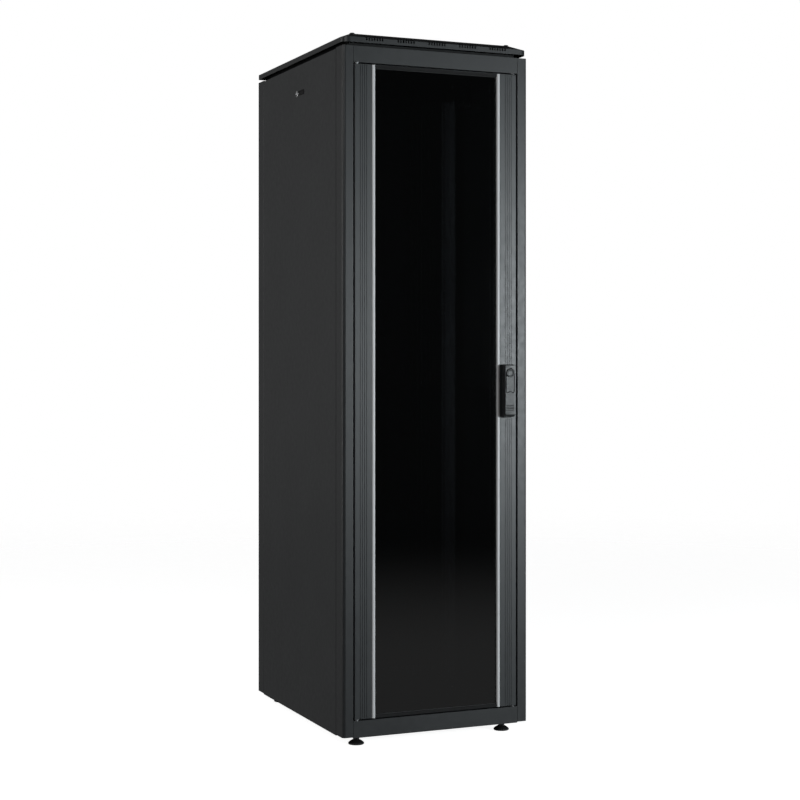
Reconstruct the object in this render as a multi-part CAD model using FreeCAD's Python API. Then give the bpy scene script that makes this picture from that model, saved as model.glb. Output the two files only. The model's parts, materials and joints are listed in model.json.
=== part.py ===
"""A 42U floor-standing network cabinet with a glass front door, modelled in millimetres.

X runs to the right seen from the front, Y runs from the front to the back and Z runs up from the floor.
The origin lies on the floor, at the middle of the cabinet's overall width and depth.
"depth" always means the distance behind the front plane of the frame; the back half mirrors it.
"""
import math
import os

import FreeCAD, Part

# ---------------------------------------------------------------- overall sizes
WIDTH = 600.0
FRAME_DEPTH = 765.0
HANDLE_PROUD = 29.0
REAR_LOCK_PROUD = 6.0
OVERALL_DEPTH = FRAME_DEPTH + HANDLE_PROUD + REAR_LOCK_PROUD
FRONT = -OVERALL_DEPTH / 2 + HANDLE_PROUD
REAR = FRONT + FRAME_DEPTH
MIDDLE_Y = (FRONT + REAR) / 2
HALF = WIDTH / 2
FRAME_BOTTOM = 29.0
FRAME_TOP = 2040.0

# ---------------------------------------------------------------- frame members
SHEET = 2.0
THIN_SHEET = 1.5
POST_FRONT_FACE = 33.5
POST_SIDE_FACE = 55.0
POST_CORNER_RADIUS = 9.5
POST_EDGE_RADIUS = 2.0
POST_BOTTOM_GAP = 2.5
INNER_POST_X = HALF - POST_FRONT_FACE
TOP_RAIL_HEIGHT = 47.5
BOTTOM_RAIL_HEIGHT = 49.5
RAIL_DEPTH = 36.0
LIP_DEPTH = 24.3
LIP_INNER_X = 243.0
LIP_RAIL_HEIGHT = 18.0
BEAM_OUTER_X = 283.0
BEAM_INNER_X = 262.0
BEAM_HEIGHT = 45.0
MIDDLE_BEAM_Z = 1010.0
SHELF_RECESS = 6.0
KEEPER_DROP = 30.0
KEEPER_INNER_X = 276.0
KEEPER_HALF_LENGTH = 20.0
REAR_POST_CORNER_RADIUS = 3.0

# ---------------------------------------------------------------- side panels
PANEL_SHEET = 1.2
PANEL_FLANGE = 15.0
PANEL_SEAM = 0.7
PANEL_BOTTOM = FRAME_BOTTOM + SHEET + 0.3
PANEL_TOP = FRAME_TOP - 3.0
SIDE_LOCK_Z = PANEL_TOP - 86.0
SIDE_LOCK_Y = MIDDLE_Y + 5.0
SIDE_LOCK_RADIUS = 10.0
SIDE_LOCK_PROUD = 1.5
SIDE_BARREL_RADIUS = 8.0
SIDE_BARREL_LENGTH = 31.0
SIDE_CAM_REACH = 34.0
LOCK_BOSS_RADIUS = 13.0
LOCK_BOSS_DEPTH = 11.0

# ---------------------------------------------------------------- roof
ROOF_GAP = 10.5
ROOF_RIM = 15.0
ROOF_RISE = 42.0
ROOF_INSET = 40.0
ROOF_FRONT_CORNER = 24.0
ROOF_REAR_CORNER = 5.0
CROWN_CORNER_RATIO = 0.4
ROOF_SHEET = 1.5
RISER_INSET = 30.0
ROOF_SCREW_INSET = 48.0
SCREW_HEAD = 3.5
SCREW_HEAD_RADIUS = 8.0
ROOF_SCREW_RADIUS = 4.0
RISER_TUBE_RADIUS = 7.0
VENT_GROUPS = 5
VENT_GROUP_SPACING = 100.0
VENTS_PER_GROUP = 7
VENT_PITCH = 8.4
VENT_WIDTH = 4.2
VENT_DROP = 8.0
VENT_REACH = 26.0

# ---------------------------------------------------------------- doors
DOOR_SIDE_GAP = 3.5
DOOR_TOP_GAP = 5.0
DOOR_BOTTOM_GAP = 4.0
DOOR_THICK = 20.0
DOOR_HALF = INNER_POST_X - DOOR_SIDE_GAP
DOOR_BOTTOM = FRAME_BOTTOM + BOTTOM_RAIL_HEIGHT + DOOR_BOTTOM_GAP
DOOR_TOP = FRAME_TOP - TOP_RAIL_HEIGHT - DOOR_TOP_GAP
DOOR_EDGE_RADIUS = 2.0
HINGE_X = 253.5
HINGE_DEPTH = 9.0
PIN_REACH = 20.0
PIN_ROOT = 16.0
PIN_COLLAR_RADIUS = 7.0
PLUG_HEAD_RADIUS = 6.5
PLUG_HEAD = 2.2
PLUG_LENGTH = 10.0
PIN_RADIUS = 4.0
PIN_BORE = 4.06
PROFILE_WIDTH = 54.5
PROFILE_WALL = 2.0
GROOVES = 4
GROOVE_PITCH = 6.7
GROOVE_WIDTH = 2.0
GROOVE_DEPTH = 1.2
STRIP_WIDTH = 10.5
STRIP_CREST = 1.5
STRIP_BACK = 6.7
GLASS_FRONT = 7.5
GLASS_THICK = 4.0
GLASS_LIP_DEPTH = 12.0
BAND_HEIGHT = 8.5
BLOCK_HEIGHT = 26.0
SEAL_OUTER = 252.0
SEAL_WIDTH = 8.0
SEAL_THICK = 4.0
SEAL_MARGIN = 3.5

# ---------------------------------------------------------------- door handle and locking rods
HANDLE_X = 230.0
HANDLE_BOTTOM = 952.0
HANDLE_HEIGHT = 161.0
HANDLE_WIDTH = 32.0
HOUSING_PROUD = 8.0
LEVER_BACK = 9.0
LEVER_FRONT = 26.0
TILT_DEPTH = (LEVER_BACK + LEVER_FRONT) / 2
TILT_Z = HANDLE_BOTTOM + 12.0
KNUCKLE_RADIUS = (LEVER_FRONT - LEVER_BACK) / 2
HUB_RADIUS = 10.5
HUB_FACE_GAP = 0.1
SPINDLE_RADIUS = 6.0
CAP_DROP = 25.5
CAP_RADIUS = 13.0
CYLINDER_RADIUS = 8.5
CAP_PIVOT_RADIUS = 1.5
CAP_PIVOT_RISE = 10.5
TILT_PIN_RADIUS = 2.5
TONGUE_HALF_WIDTH = 4.0
TONGUE_RADIUS = 6.0
PINION_RADIUS = 7.5
CAM_REACH = 11.5
CAM_HALF_HEIGHT = 8.0
CAM_THICK = 3.0
HANDLE_CORNER_RADIUS = 6.0
ROD_RADIUS = 4.0
ROD_X = 218.0
ROD_DEPTH = 31.0
ROD_TRAVEL = 20.0
GEARBOX_HALF_HEIGHT = 36.0
GEARBOX_BACK = 38.0
GEARBOX_SHEET = 1.5
ROD_GUIDE_HEIGHTS = (160.0, 420.0, 720.0, 1250.0, 1560.0, 1880.0)
KEY_WIDTH = 1.6
KEY_HEIGHT = 9.0
REAR_LOCK_X = -230.0
REAR_LOCK_Z = 1024.0
REAR_LOCK_RADIUS = 9.0
REAR_DOOR_TURNED_EDGE = 20.0
STIFFENER_HALF_WIDTH = 3.0
RUNNING_FIT = 0.06

# ---------------------------------------------------------------- 19-inch rack rails
RACK_UNIT = 44.45
RACK_UNITS = 42
RACK_BOTTOM = 91.5
RACK_HOLE = 9.5
RACK_HOLE_X = 232.55
RACK_INNER_X = 225.0
RACK_OUTER_X = 255.0
RACK_LEG = 40.0
RACK_HOLE_OFFSETS = (6.35, 22.225, 38.1)
RACK_MARGIN = 7.0
FRONT_RACK_DEPTH = 97.0
REAR_RACK_DEPTH = 455.0
BRACKET_HEIGHT = 100.0
BRACKET_DEPTH = 30.0
BOLT_RADIUS = 3.0
BOLT_HOLE = 3.1
BOLT_HEAD = 4.0

# ---------------------------------------------------------------- base and feet
FOOT_X = HALF - 62.0
FOOT_DEPTH = 51.0
FOOT_PAD_RADIUS = 23.5
FOOT_RIM = 5.0
FOOT_NECK_RADIUS = 9.5
STUD_RADIUS = 6.0
STUD_TOP = 84.0
PLATE_THICK = 4.0
PLATE_LENGTH = 70.0
PLATE_MARGIN = 16.0
FOOT_BOSS_RADIUS = 11.0
FOOT_BOSS_HEIGHT = 16.0
FOOT_DOME_HEIGHT = 8.0
BASE_Z = 62.0
TRAY_EDGE = 12.0
BRACKET_SLOT_X = 245.0
BASE_NOTCH = 72.0
PLINTH_HOLE_X = 190.0
PLINTH_HOLE_DEPTH = 60.0
PLINTH_HOLE_RADIUS = 6.5
CABLE_HALF_WIDTH = 150.0
MIDDLE_CABLE_HALF_WIDTH = 90.0
CABLE_HALF_DEPTH = 50.0
COVER_MARGIN = 12.0
REAR_CABLE_DEPTH = FRAME_DEPTH - 130.0
MIDDLE_CABLE_DEPTH = 300.0
TOP_CABLE_DEPTH = FRAME_DEPTH - 110.0
TOP_PANEL_Z = FRAME_TOP - 12.0
TOP_NOTCH_X = 30.0
TOP_NOTCH_DEPTH = 22.0
TOP_VENT_ROWS = 5
TOP_VENT_START = 170.0
TOP_VENT_PITCH = 60.0
TOP_VENT_X = 110.0
TOP_VENT_HALF_LENGTH = 70.0
TOP_VENT_HALF_WIDTH = 7.0
BRUSH_RIM = 10.0
BRUSH_THICK = 5.0
BRISTLE_GAP = 0.5

OUT = "parts"


# ---------------------------------------------------------------- helpers
def at(depth):
    """Y of a plane this far behind the front plane."""
    return FRONT + depth


def box(x0, x1, y0, y1, z0, z1):
    """A box between two corners."""
    return Part.makeBox(x1 - x0, y1 - y0, z1 - z0, FreeCAD.Vector(x0, y0, z0))


def slab(x0, x1, depth0, depth1, z0, z1):
    """A box given by its depths behind the front plane."""
    return box(x0, x1, at(depth0), at(depth1), z0, z1)


def rod(radius, start, end):
    """A cylinder from one point to another."""
    a = FreeCAD.Vector(*start)
    b = FreeCAD.Vector(*end)
    return Part.makeCylinder(radius, a.distanceToPoint(b), a, b - a)


def across(radius, x, z, depth0, depth1):
    """A cylinder along Y between two depths."""
    return rod(radius, (x, at(depth0), z), (x, at(depth1), z))


def upright(radius, x, y, z0, z1):
    """A vertical cylinder."""
    return rod(radius, (x, y, z0), (x, y, z1))


def join(shapes):
    """One solid from touching shapes."""
    return shapes[0].fuse(shapes[1:]).removeSplitter()


def cut(shape, tools):
    """A shape with every tool taken away from it."""
    return shape.cut(Part.makeCompound(tools))


def mirror_x(shape):
    """The same shape on the other side of the cabinet."""
    return shape.mirror(FreeCAD.Vector(0, 0, 0), FreeCAD.Vector(1, 0, 0))


def mirror_y(shape):
    """The same shape at the other end of the cabinet's depth."""
    return shape.mirror(FreeCAD.Vector(0, MIDDLE_Y, 0), FreeCAD.Vector(0, 1, 0))


def four_corners(shape):
    """A shape and its three mirror images about the middle of the cabinet."""
    return [shape, mirror_x(shape), mirror_y(shape), mirror_x(mirror_y(shape))]


def rounded_outline(x0, x1, y0, y1, z, radii):
    """A closed outline at height z; radii belong to (x0,y0), (x1,y0), (x1,y1), (x0,y1)."""
    corners = [(x0, y0, 1, 1), (x1, y0, -1, 1), (x1, y1, -1, -1), (x0, y1, 1, -1)]
    ends = []
    arcs = []
    diagonal = 1 - math.sqrt(0.5)
    for index, ((x, y, inward_x, inward_y), radius) in enumerate(zip(corners, radii)):
        beside = FreeCAD.Vector(x + inward_x * radius, y, z)
        above = FreeCAD.Vector(x, y + inward_y * radius, z)
        middle = FreeCAD.Vector(x + inward_x * radius * diagonal, y + inward_y * radius * diagonal, z)
        first, last = (above, beside) if index % 2 == 0 else (beside, above)
        ends.append((first, last))
        arcs.append(Part.Arc(first, middle, last).toShape() if radius else None)
    edges = []
    for index in range(4):
        if arcs[index]:
            edges.append(arcs[index])
        edges.append(Part.makeLine(ends[index][1], ends[(index + 1) % 4][0]))
    return Part.Wire(edges)


def rounded_block(x0, x1, y0, y1, z0, z1, radii):
    """A vertical prism on a rounded outline."""
    face = Part.Face(rounded_outline(x0, x1, y0, y1, z0, radii))
    return face.extrude(FreeCAD.Vector(0, 0, z1 - z0))


def ring(outer_x, inner_x, depth0, depth1, z0, z1, width):
    """A rectangular frame standing in the XZ plane."""
    outer = slab(-outer_x, outer_x, depth0, depth1, z0, z1)
    return cut(outer, [slab(-inner_x, inner_x, depth0, depth1, z0 + width, z1 - width)])


def save(name, shape):
    """Write one named piece."""
    shape.exportStep(os.path.join(OUT, name + ".step"))


# ---------------------------------------------------------------- frame
def front_right_post(corner_radius):
    """Hollow corner post with a rounded outer corner and a lip that the door seal closes on."""
    small = POST_EDGE_RADIUS
    y0 = at(0)
    y1 = at(POST_SIDE_FACE)
    z0 = FRAME_BOTTOM + POST_BOTTOM_GAP
    outer = rounded_block(INNER_POST_X, HALF, y0, y1, z0, FRAME_TOP, (small, corner_radius, small, small))
    inner = rounded_block(INNER_POST_X + SHEET, HALF - SHEET, y0 + SHEET, y1 - SHEET, z0, FRAME_TOP,
                          (0, corner_radius - SHEET, 0, 0))
    lip = slab(LIP_INNER_X, INNER_POST_X + 1, LIP_DEPTH, LIP_DEPTH + SHEET,
               FRAME_BOTTOM + BOTTOM_RAIL_HEIGHT, FRAME_TOP - TOP_RAIL_HEIGHT)
    return join([outer.cut(inner), lip])


def front_rail(z0, z1, lip_z0, lip_z1, pin_wall_z):
    """Hollow cross rail between the posts, with a seal lip and a hole for each hinge pin."""
    tube = slab(-INNER_POST_X, INNER_POST_X, 0, RAIL_DEPTH, z0, z1)
    hollow = slab(-INNER_POST_X, INNER_POST_X, SHEET, RAIL_DEPTH - SHEET, z0 + SHEET, z1 - SHEET)
    lip = slab(-LIP_INNER_X, LIP_INNER_X, LIP_DEPTH, LIP_DEPTH + SHEET, lip_z0, lip_z1)
    reach = SHEET + 1
    holes = [upright(PIN_RADIUS + 0.1, side * HINGE_X, at(HINGE_DEPTH), pin_wall_z - reach, pin_wall_z + reach)
             for side in (-1, 1)]
    return cut(join([tube.cut(hollow), lip]), holes)


def top_rail():
    """Front cross rail over the door."""
    z0 = FRAME_TOP - TOP_RAIL_HEIGHT
    return front_rail(z0, FRAME_TOP, z0 - LIP_RAIL_HEIGHT, z0, z0)


def bottom_rail():
    """Front cross rail under the door."""
    z1 = FRAME_BOTTOM + BOTTOM_RAIL_HEIGHT
    return front_rail(FRAME_BOTTOM, z1, z1, z1 + LIP_RAIL_HEIGHT, z1)


def beam(z0, z1, extras):
    """Hollow right-hand member running from the front post to the rear post."""
    y0 = at(POST_SIDE_FACE)
    y1 = at(FRAME_DEPTH - POST_SIDE_FACE)
    tube = box(BEAM_INNER_X, BEAM_OUTER_X, y0, y1, z0, z1)
    hollow = box(BEAM_INNER_X + SHEET, BEAM_OUTER_X - SHEET, y0, y1, z0 + SHEET, z1 - SHEET)
    shape = tube.cut(hollow)
    if extras:
        shape = join([shape] + extras)
    bolts = [rod(BOLT_HOLE, (BEAM_INNER_X - 1, y, z), (BEAM_INNER_X + SHEET + 1, y, z))
             for (y, z) in bracket_bolts("beam") if z0 < z < z1]
    return cut(shape, bolts)


def top_beam():
    """Top member with the shelf over the side panel and the keeper that its lock catches."""
    z0 = FRAME_TOP - BEAM_HEIGHT
    y0 = at(POST_SIDE_FACE)
    y1 = at(FRAME_DEPTH - POST_SIDE_FACE)
    shelf = box(BEAM_OUTER_X - SHEET, HALF - SHELF_RECESS, y0, y1, FRAME_TOP - SHEET, FRAME_TOP)
    keeper = box(KEEPER_INNER_X, KEEPER_INNER_X + SHEET, SIDE_LOCK_Y - KEEPER_HALF_LENGTH,
                 SIDE_LOCK_Y + KEEPER_HALF_LENGTH, z0 - KEEPER_DROP, z0 + 1)
    return beam(z0, FRAME_TOP, [shelf, keeper])


def middle_beam():
    """Member at half height that steadies the rack rails."""
    return beam(MIDDLE_BEAM_Z - BEAM_HEIGHT / 2, MIDDLE_BEAM_Z + BEAM_HEIGHT / 2, [])


def bottom_beam():
    """Bottom member with the ledge that the side panel stands on."""
    ledge = box(BEAM_OUTER_X - SHEET, HALF, at(POST_SIDE_FACE), at(FRAME_DEPTH - POST_SIDE_FACE),
                FRAME_BOTTOM, FRAME_BOTTOM + SHEET)
    return beam(FRAME_BOTTOM, FRAME_BOTTOM + BEAM_HEIGHT, [ledge])


# ---------------------------------------------------------------- rack rails
def rack_rail(depth, leg_direction):
    """Right-hand rail: a flange with three square holes per unit and a leg along the depth."""
    z0 = RACK_BOTTOM - RACK_MARGIN
    z1 = RACK_BOTTOM + RACK_UNITS * RACK_UNIT + RACK_MARGIN
    flange_start = at(depth)
    outline = Part.makePolygon([FreeCAD.Vector(RACK_INNER_X, flange_start, z0),
                                FreeCAD.Vector(RACK_OUTER_X, flange_start, z0),
                                FreeCAD.Vector(RACK_OUTER_X, flange_start, z1),
                                FreeCAD.Vector(RACK_INNER_X, flange_start, z1),
                                FreeCAD.Vector(RACK_INNER_X, flange_start, z0)])
    plate = Part.Face(outline).extrude(FreeCAD.Vector(0, leg_direction * SHEET, 0))
    windows = []
    half = RACK_HOLE / 2
    for unit in range(RACK_UNITS):
        for offset in RACK_HOLE_OFFSETS:
            z = RACK_BOTTOM + unit * RACK_UNIT + offset
            windows.append(box(RACK_HOLE_X - half, RACK_HOLE_X + half, flange_start - SHEET - 1,
                               flange_start + SHEET + 1, z - half, z + half))
    plate = cut(plate, windows)
    leg_ends = sorted((flange_start, flange_start + leg_direction * RACK_LEG))
    leg = box(RACK_OUTER_X - SHEET, RACK_OUTER_X, leg_ends[0], leg_ends[1], z0, z1)
    y = rack_leg_middle(depth, leg_direction)
    bolts = [rod(BOLT_HOLE, (RACK_OUTER_X - SHEET - 1, y, z), (RACK_OUTER_X + 1, y, z))
             for z in rail_bolt_heights()]
    return cut(join([plate, leg]), bolts)


RACKS = ((FRONT_RACK_DEPTH, 1), (REAR_RACK_DEPTH, -1))


def rack_leg_middle(depth, leg_direction):
    """Y of the brackets and bolts on a rail's leg."""
    return at(depth) + leg_direction * (SHEET + RACK_LEG) / 2


def bracket_levels():
    """Bottom height of each bracket, its bolt into the rail and its bolt into the beam."""
    top_beam_z = FRAME_TOP - BEAM_HEIGHT
    top_bracket = top_beam_z - BRACKET_HEIGHT / 2 - 15
    bottom_bracket = FRAME_BOTTOM + 10
    middle_bracket = MIDDLE_BEAM_Z - BRACKET_HEIGHT / 2
    return (
        (bottom_bracket, bottom_bracket + 80, bottom_bracket + 20),
        (middle_bracket, middle_bracket + 15, middle_bracket + 50),
        (top_bracket, top_bracket + 20, top_bracket + 85),
    )


def rail_bolt_heights():
    """Heights of the bolts through a rail's leg."""
    return [level[1] for level in bracket_levels()]


def bracket_bolts(where):
    """(y, z) of the bolts that hold the brackets to the beams or to the rails."""
    index = 2 if where == "beam" else 1
    return [(rack_leg_middle(depth, way), level[index]) for depth, way in RACKS for level in bracket_levels()]


def rack_brackets():
    """Right-hand spacer brackets between the rack rails and the beams."""
    brackets = []
    for depth, way in RACKS:
        y = rack_leg_middle(depth, way)
        for z0, rail_z, beam_z in bracket_levels():
            block = box(RACK_OUTER_X, BEAM_INNER_X, y - BRACKET_DEPTH / 2, y + BRACKET_DEPTH / 2,
                        z0, z0 + BRACKET_HEIGHT)
            holes = [rod(BOLT_HOLE, (RACK_OUTER_X - 1, y, z), (BEAM_INNER_X + 1, y, z)) for z in (rail_z, beam_z)]
            brackets.append(cut(block, holes))
    return brackets


def hex_bolt(head_x, tip_x, y, z):
    """Bolt along X, its hexagon head at head_x and its shank running out to tip_x."""
    points = [FreeCAD.Vector(head_x - BOLT_HEAD, y + 5.5 * math.cos(math.radians(60 * k)),
                             z + 5.5 * math.sin(math.radians(60 * k))) for k in range(7)]
    head = Part.Face(Part.makePolygon(points)).extrude(FreeCAD.Vector(BOLT_HEAD, 0, 0))
    return join([head, rod(BOLT_RADIUS, (head_x - 0.5, y, z), (tip_x, y, z))])


def rack_bolts():
    """Right-hand bolts: rail to bracket, and bracket to beam."""
    bolts = [hex_bolt(RACK_OUTER_X - SHEET, BEAM_INNER_X - 0.5, y, z) for y, z in bracket_bolts("rail")]
    bolts += [hex_bolt(RACK_OUTER_X, BEAM_INNER_X + SHEET + 4, y, z) for y, z in bracket_bolts("beam")
              if not RACK_BOTTOM - RACK_MARGIN < z < RACK_BOTTOM + RACK_UNITS * RACK_UNIT + RACK_MARGIN]
    return bolts


# ---------------------------------------------------------------- base
def corner_plate():
    """Front-right plate in the base with a foot hole and a plinth hole."""
    x0 = PLINTH_HOLE_X - PLATE_MARGIN
    plate = slab(x0, BEAM_INNER_X, RAIL_DEPTH, RAIL_DEPTH + PLATE_LENGTH, FRAME_BOTTOM, FRAME_BOTTOM + PLATE_THICK)
    boss = upright(FOOT_BOSS_RADIUS, FOOT_X, at(FOOT_DEPTH), FRAME_BOTTOM, FRAME_BOTTOM + FOOT_BOSS_HEIGHT)
    z0 = FRAME_BOTTOM - 1
    z1 = FRAME_BOTTOM + FOOT_BOSS_HEIGHT + 1
    holes = [upright(STUD_RADIUS + RUNNING_FIT, FOOT_X, at(FOOT_DEPTH), z0, z1),
             upright(PLINTH_HOLE_RADIUS, PLINTH_HOLE_X, at(PLINTH_HOLE_DEPTH), z0, z1)]
    return cut(join([plate, boss]), holes)


def foot(x, y):
    """Levelling foot: a domed pad with a neck, and the threaded stud that screws into the base."""
    pad = upright(FOOT_PAD_RADIUS, x, y, 0, FOOT_RIM)
    dome = Part.makeCone(FOOT_PAD_RADIUS - 1.5, FOOT_NECK_RADIUS + 2, FOOT_DOME_HEIGHT,
                         FreeCAD.Vector(x, y, FOOT_RIM))
    neck = upright(FOOT_NECK_RADIUS, x, y, FOOT_RIM + FOOT_DOME_HEIGHT - 1, FRAME_BOTTOM - 1.5)
    bore = upright(STUD_RADIUS, x, y, FOOT_RIM, FRAME_BOTTOM)
    stud = upright(STUD_RADIUS, x, y, FOOT_RIM, STUD_TOP)
    return [join([pad, dome, neck]).cut(bore), stud]


def turned_down_tray(z, corner_x, corner_depth):
    """Sheet with turned-down edges, cut back at its four corners and slotted round the rack brackets."""
    x = BEAM_INNER_X
    y0 = at(RAIL_DEPTH)
    y1 = at(FRAME_DEPTH - RAIL_DEPTH)
    low = z - TRAY_EDGE
    sheet = THIN_SHEET
    tray = box(-x, x, y0, y1, low, z)
    tools = [box(-x + sheet, x - sheet, y0 + sheet, y1 - sheet, low - 1, z - sheet)]
    tools += four_corners(box(x - corner_x, x, y0, y0 + corner_depth, low - 1, z + 1))
    reach = BRACKET_DEPTH / 2 + 1
    for depth, way in RACKS:
        y = rack_leg_middle(depth, way)
        slot = box(BRACKET_SLOT_X, x, y - reach, y + reach, low - 1, z + 1)
        tools += [slot, mirror_x(slot)]
    return cut(tray, tools)


def base_panel():
    """Floor sheet, cut back at the feet and open for cables."""
    z0 = BASE_Z - TRAY_EDGE - 1
    openings = [opening_block(CABLE_HALF_WIDTH, REAR_CABLE_DEPTH, z0, BASE_Z + 1),
                opening_block(MIDDLE_CABLE_HALF_WIDTH, MIDDLE_CABLE_DEPTH, z0, BASE_Z + 1)]
    return cut(turned_down_tray(BASE_Z, BASE_NOTCH + 10, BASE_NOTCH), openings)


def opening_block(half_width, depth, z0, z1):
    """The cable opening centred at this depth."""
    return slab(-half_width, half_width, depth - CABLE_HALF_DEPTH, depth + CABLE_HALF_DEPTH, z0, z1)


def cable_cover():
    """Blanking plate over the middle cable opening."""
    half_width = MIDDLE_CABLE_HALF_WIDTH + COVER_MARGIN
    half_depth = CABLE_HALF_DEPTH + COVER_MARGIN
    return slab(-half_width, half_width, MIDDLE_CABLE_DEPTH - half_depth, MIDDLE_CABLE_DEPTH + half_depth,
                BASE_Z, BASE_Z + THIN_SHEET)


# ---------------------------------------------------------------- roof
def roof_shell(offset, z_floor):
    """The lid's outer form moved inwards by offset."""
    x = HALF - offset
    y0 = FRONT + offset
    y1 = REAR - offset
    front_radius = ROOF_FRONT_CORNER - offset
    rear_radius = ROOF_REAR_CORNER - offset
    radii = (front_radius, front_radius, rear_radius, rear_radius)
    high_radii = tuple(radius * CROWN_CORNER_RATIO for radius in radii)
    z0 = FRAME_TOP + ROOF_GAP
    rim_top = z0 + ROOF_RIM
    crown = FRAME_TOP + ROOF_RISE - offset
    rim = rounded_block(-x, x, y0, y1, z_floor, rim_top, radii)
    low = rounded_outline(-x, x, y0, y1, rim_top, radii)
    inset = ROOF_INSET - offset
    high = rounded_outline(-x + inset, x - inset, y0 + inset, y1 - inset, crown, high_radii)
    bevel = Part.makeLoft([low, high], True, True)
    return rim, bevel


def roof_lid():
    """Raised lid: a rim, four sloping edges, a flat top and vent slots along the front and back edges."""
    z0 = FRAME_TOP + ROOF_GAP
    outer = join(list(roof_shell(0, z0)))
    inner_rim, inner_bevel = roof_shell(ROOF_SHEET, z0 - 1)
    lid = outer.cut(inner_rim).cut(inner_bevel)
    slots = []
    rim_top = z0 + ROOF_RIM
    for group in range(VENT_GROUPS):
        group_x = (group - (VENT_GROUPS - 1) / 2) * VENT_GROUP_SPACING
        for slot in range(VENTS_PER_GROUP):
            x = group_x + (slot - (VENTS_PER_GROUP - 1) / 2) * VENT_PITCH
            block = box(x - VENT_WIDTH / 2, x + VENT_WIDTH / 2, FRONT - 1, FRONT + VENT_REACH,
                        rim_top - VENT_DROP, rim_top + VENT_REACH)
            slots += [block, mirror_y(block)]
    holes = [upright(ROOF_SCREW_RADIUS + 0.2, x, y, z0, FRAME_TOP + ROOF_RISE + 1) for x, y in roof_screw_places()]
    return cut(lid, slots + holes)


def roof_screw_places():
    """(x, y) of the four screws near the corners of the lid."""
    x = HALF - ROOF_SCREW_INSET
    return [(side * x, y) for side in (-1, 1) for y in (FRONT + ROOF_SCREW_INSET, REAR - ROOF_SCREW_INSET)]


def roof_riser():
    """Four upright walls on the frame that carry the lid, and a tube under each roof screw."""
    x = HALF - RISER_INSET
    y0 = FRONT + RISER_INSET
    y1 = REAR - RISER_INSET
    z1 = FRAME_TOP + ROOF_GAP + ROOF_RIM - SHEET
    low_z1 = FRAME_TOP + ROOF_GAP + SHEET
    walls = [box(x - SHEET, x, y0, y1, FRAME_TOP, z1), box(-x, -x + SHEET, y0, y1, FRAME_TOP, z1),
             box(-x + SHEET, x - SHEET, y0, y0 + SHEET, FRAME_TOP, low_z1),
             box(-x + SHEET, x - SHEET, y1 - SHEET, y1, FRAME_TOP, low_z1)]
    tubes = []
    for screw_x, screw_y in roof_screw_places():
        tube = upright(RISER_TUBE_RADIUS, screw_x, screw_y, FRAME_TOP, FRAME_TOP + ROOF_RISE - ROOF_SHEET)
        tubes.append(tube.cut(upright(ROOF_SCREW_RADIUS + 0.1, screw_x, screw_y, FRAME_TOP, FRAME_TOP + ROOF_RISE)))
    return walls + tubes


def roof_screw(x, y):
    """Domed screw head on the lid, with its shank down the riser's tube."""
    top = FRAME_TOP + ROOF_RISE
    head = Part.makeCone(SCREW_HEAD_RADIUS, SCREW_HEAD_RADIUS - 2.5, SCREW_HEAD, FreeCAD.Vector(x, y, top))
    shank = upright(ROOF_SCREW_RADIUS, x, y, FRAME_TOP + 1, top + 1)
    socket = upright(2.5, x, y, top + 1, top + SCREW_HEAD + 1)
    return join([head, shank]).cut(socket)


def top_panel():
    """Sheets closing the top of the frame: a vented one in front and three round the cable opening."""
    tools = [opening_block(CABLE_HALF_WIDTH, TOP_CABLE_DEPTH, TOP_PANEL_Z - TRAY_EDGE - 1, TOP_PANEL_Z + 1)]
    for side in (-1, 1):
        x = side * TOP_VENT_X
        for row in range(TOP_VENT_ROWS):
            depth = TOP_VENT_START + row * TOP_VENT_PITCH
            tools.append(slab(x - TOP_VENT_HALF_LENGTH, x + TOP_VENT_HALF_LENGTH, depth - TOP_VENT_HALF_WIDTH,
                              depth + TOP_VENT_HALF_WIDTH, TOP_PANEL_Z - THIN_SHEET - 1, TOP_PANEL_Z + 1))
    whole = cut(turned_down_tray(TOP_PANEL_Z, TOP_NOTCH_X, TOP_NOTCH_DEPTH), tools)
    front_end = TOP_CABLE_DEPTH - CABLE_HALF_DEPTH
    rear_start = TOP_CABLE_DEPTH + CABLE_HALF_DEPTH
    fields = [(-HALF, HALF, 0, front_end), (-HALF, -CABLE_HALF_WIDTH, front_end, rear_start),
              (CABLE_HALF_WIDTH, HALF, front_end, rear_start), (-HALF, HALF, rear_start, FRAME_DEPTH)]
    return [whole.common(slab(x0, x1, depth0, depth1, TOP_PANEL_Z - TRAY_EDGE - 1, TOP_PANEL_Z + 1))
            for x0, x1, depth0, depth1 in fields]


def cable_brush():
    """Brush strip across the top cable opening: a clamping frame and two rows of bristle."""
    w = CABLE_HALF_WIDTH
    d = CABLE_HALF_DEPTH
    z = TOP_PANEL_Z
    rim = BRUSH_RIM
    frame = slab(-w - rim, w + rim, TOP_CABLE_DEPTH - d - rim, TOP_CABLE_DEPTH + d + rim, z, z + BRUSH_THICK)
    window = slab(-w, w, TOP_CABLE_DEPTH - d, TOP_CABLE_DEPTH + d, z - 1, z + BRUSH_THICK + 1)
    bristle_z0 = z + 1
    bristle_z1 = z + BRUSH_THICK - 1
    rows = [slab(-w, w, TOP_CABLE_DEPTH - d, TOP_CABLE_DEPTH - BRISTLE_GAP, bristle_z0, bristle_z1),
            slab(-w, w, TOP_CABLE_DEPTH + BRISTLE_GAP, TOP_CABLE_DEPTH + d, bristle_z0, bristle_z1)]
    return join([frame.cut(window)] + rows)


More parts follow.
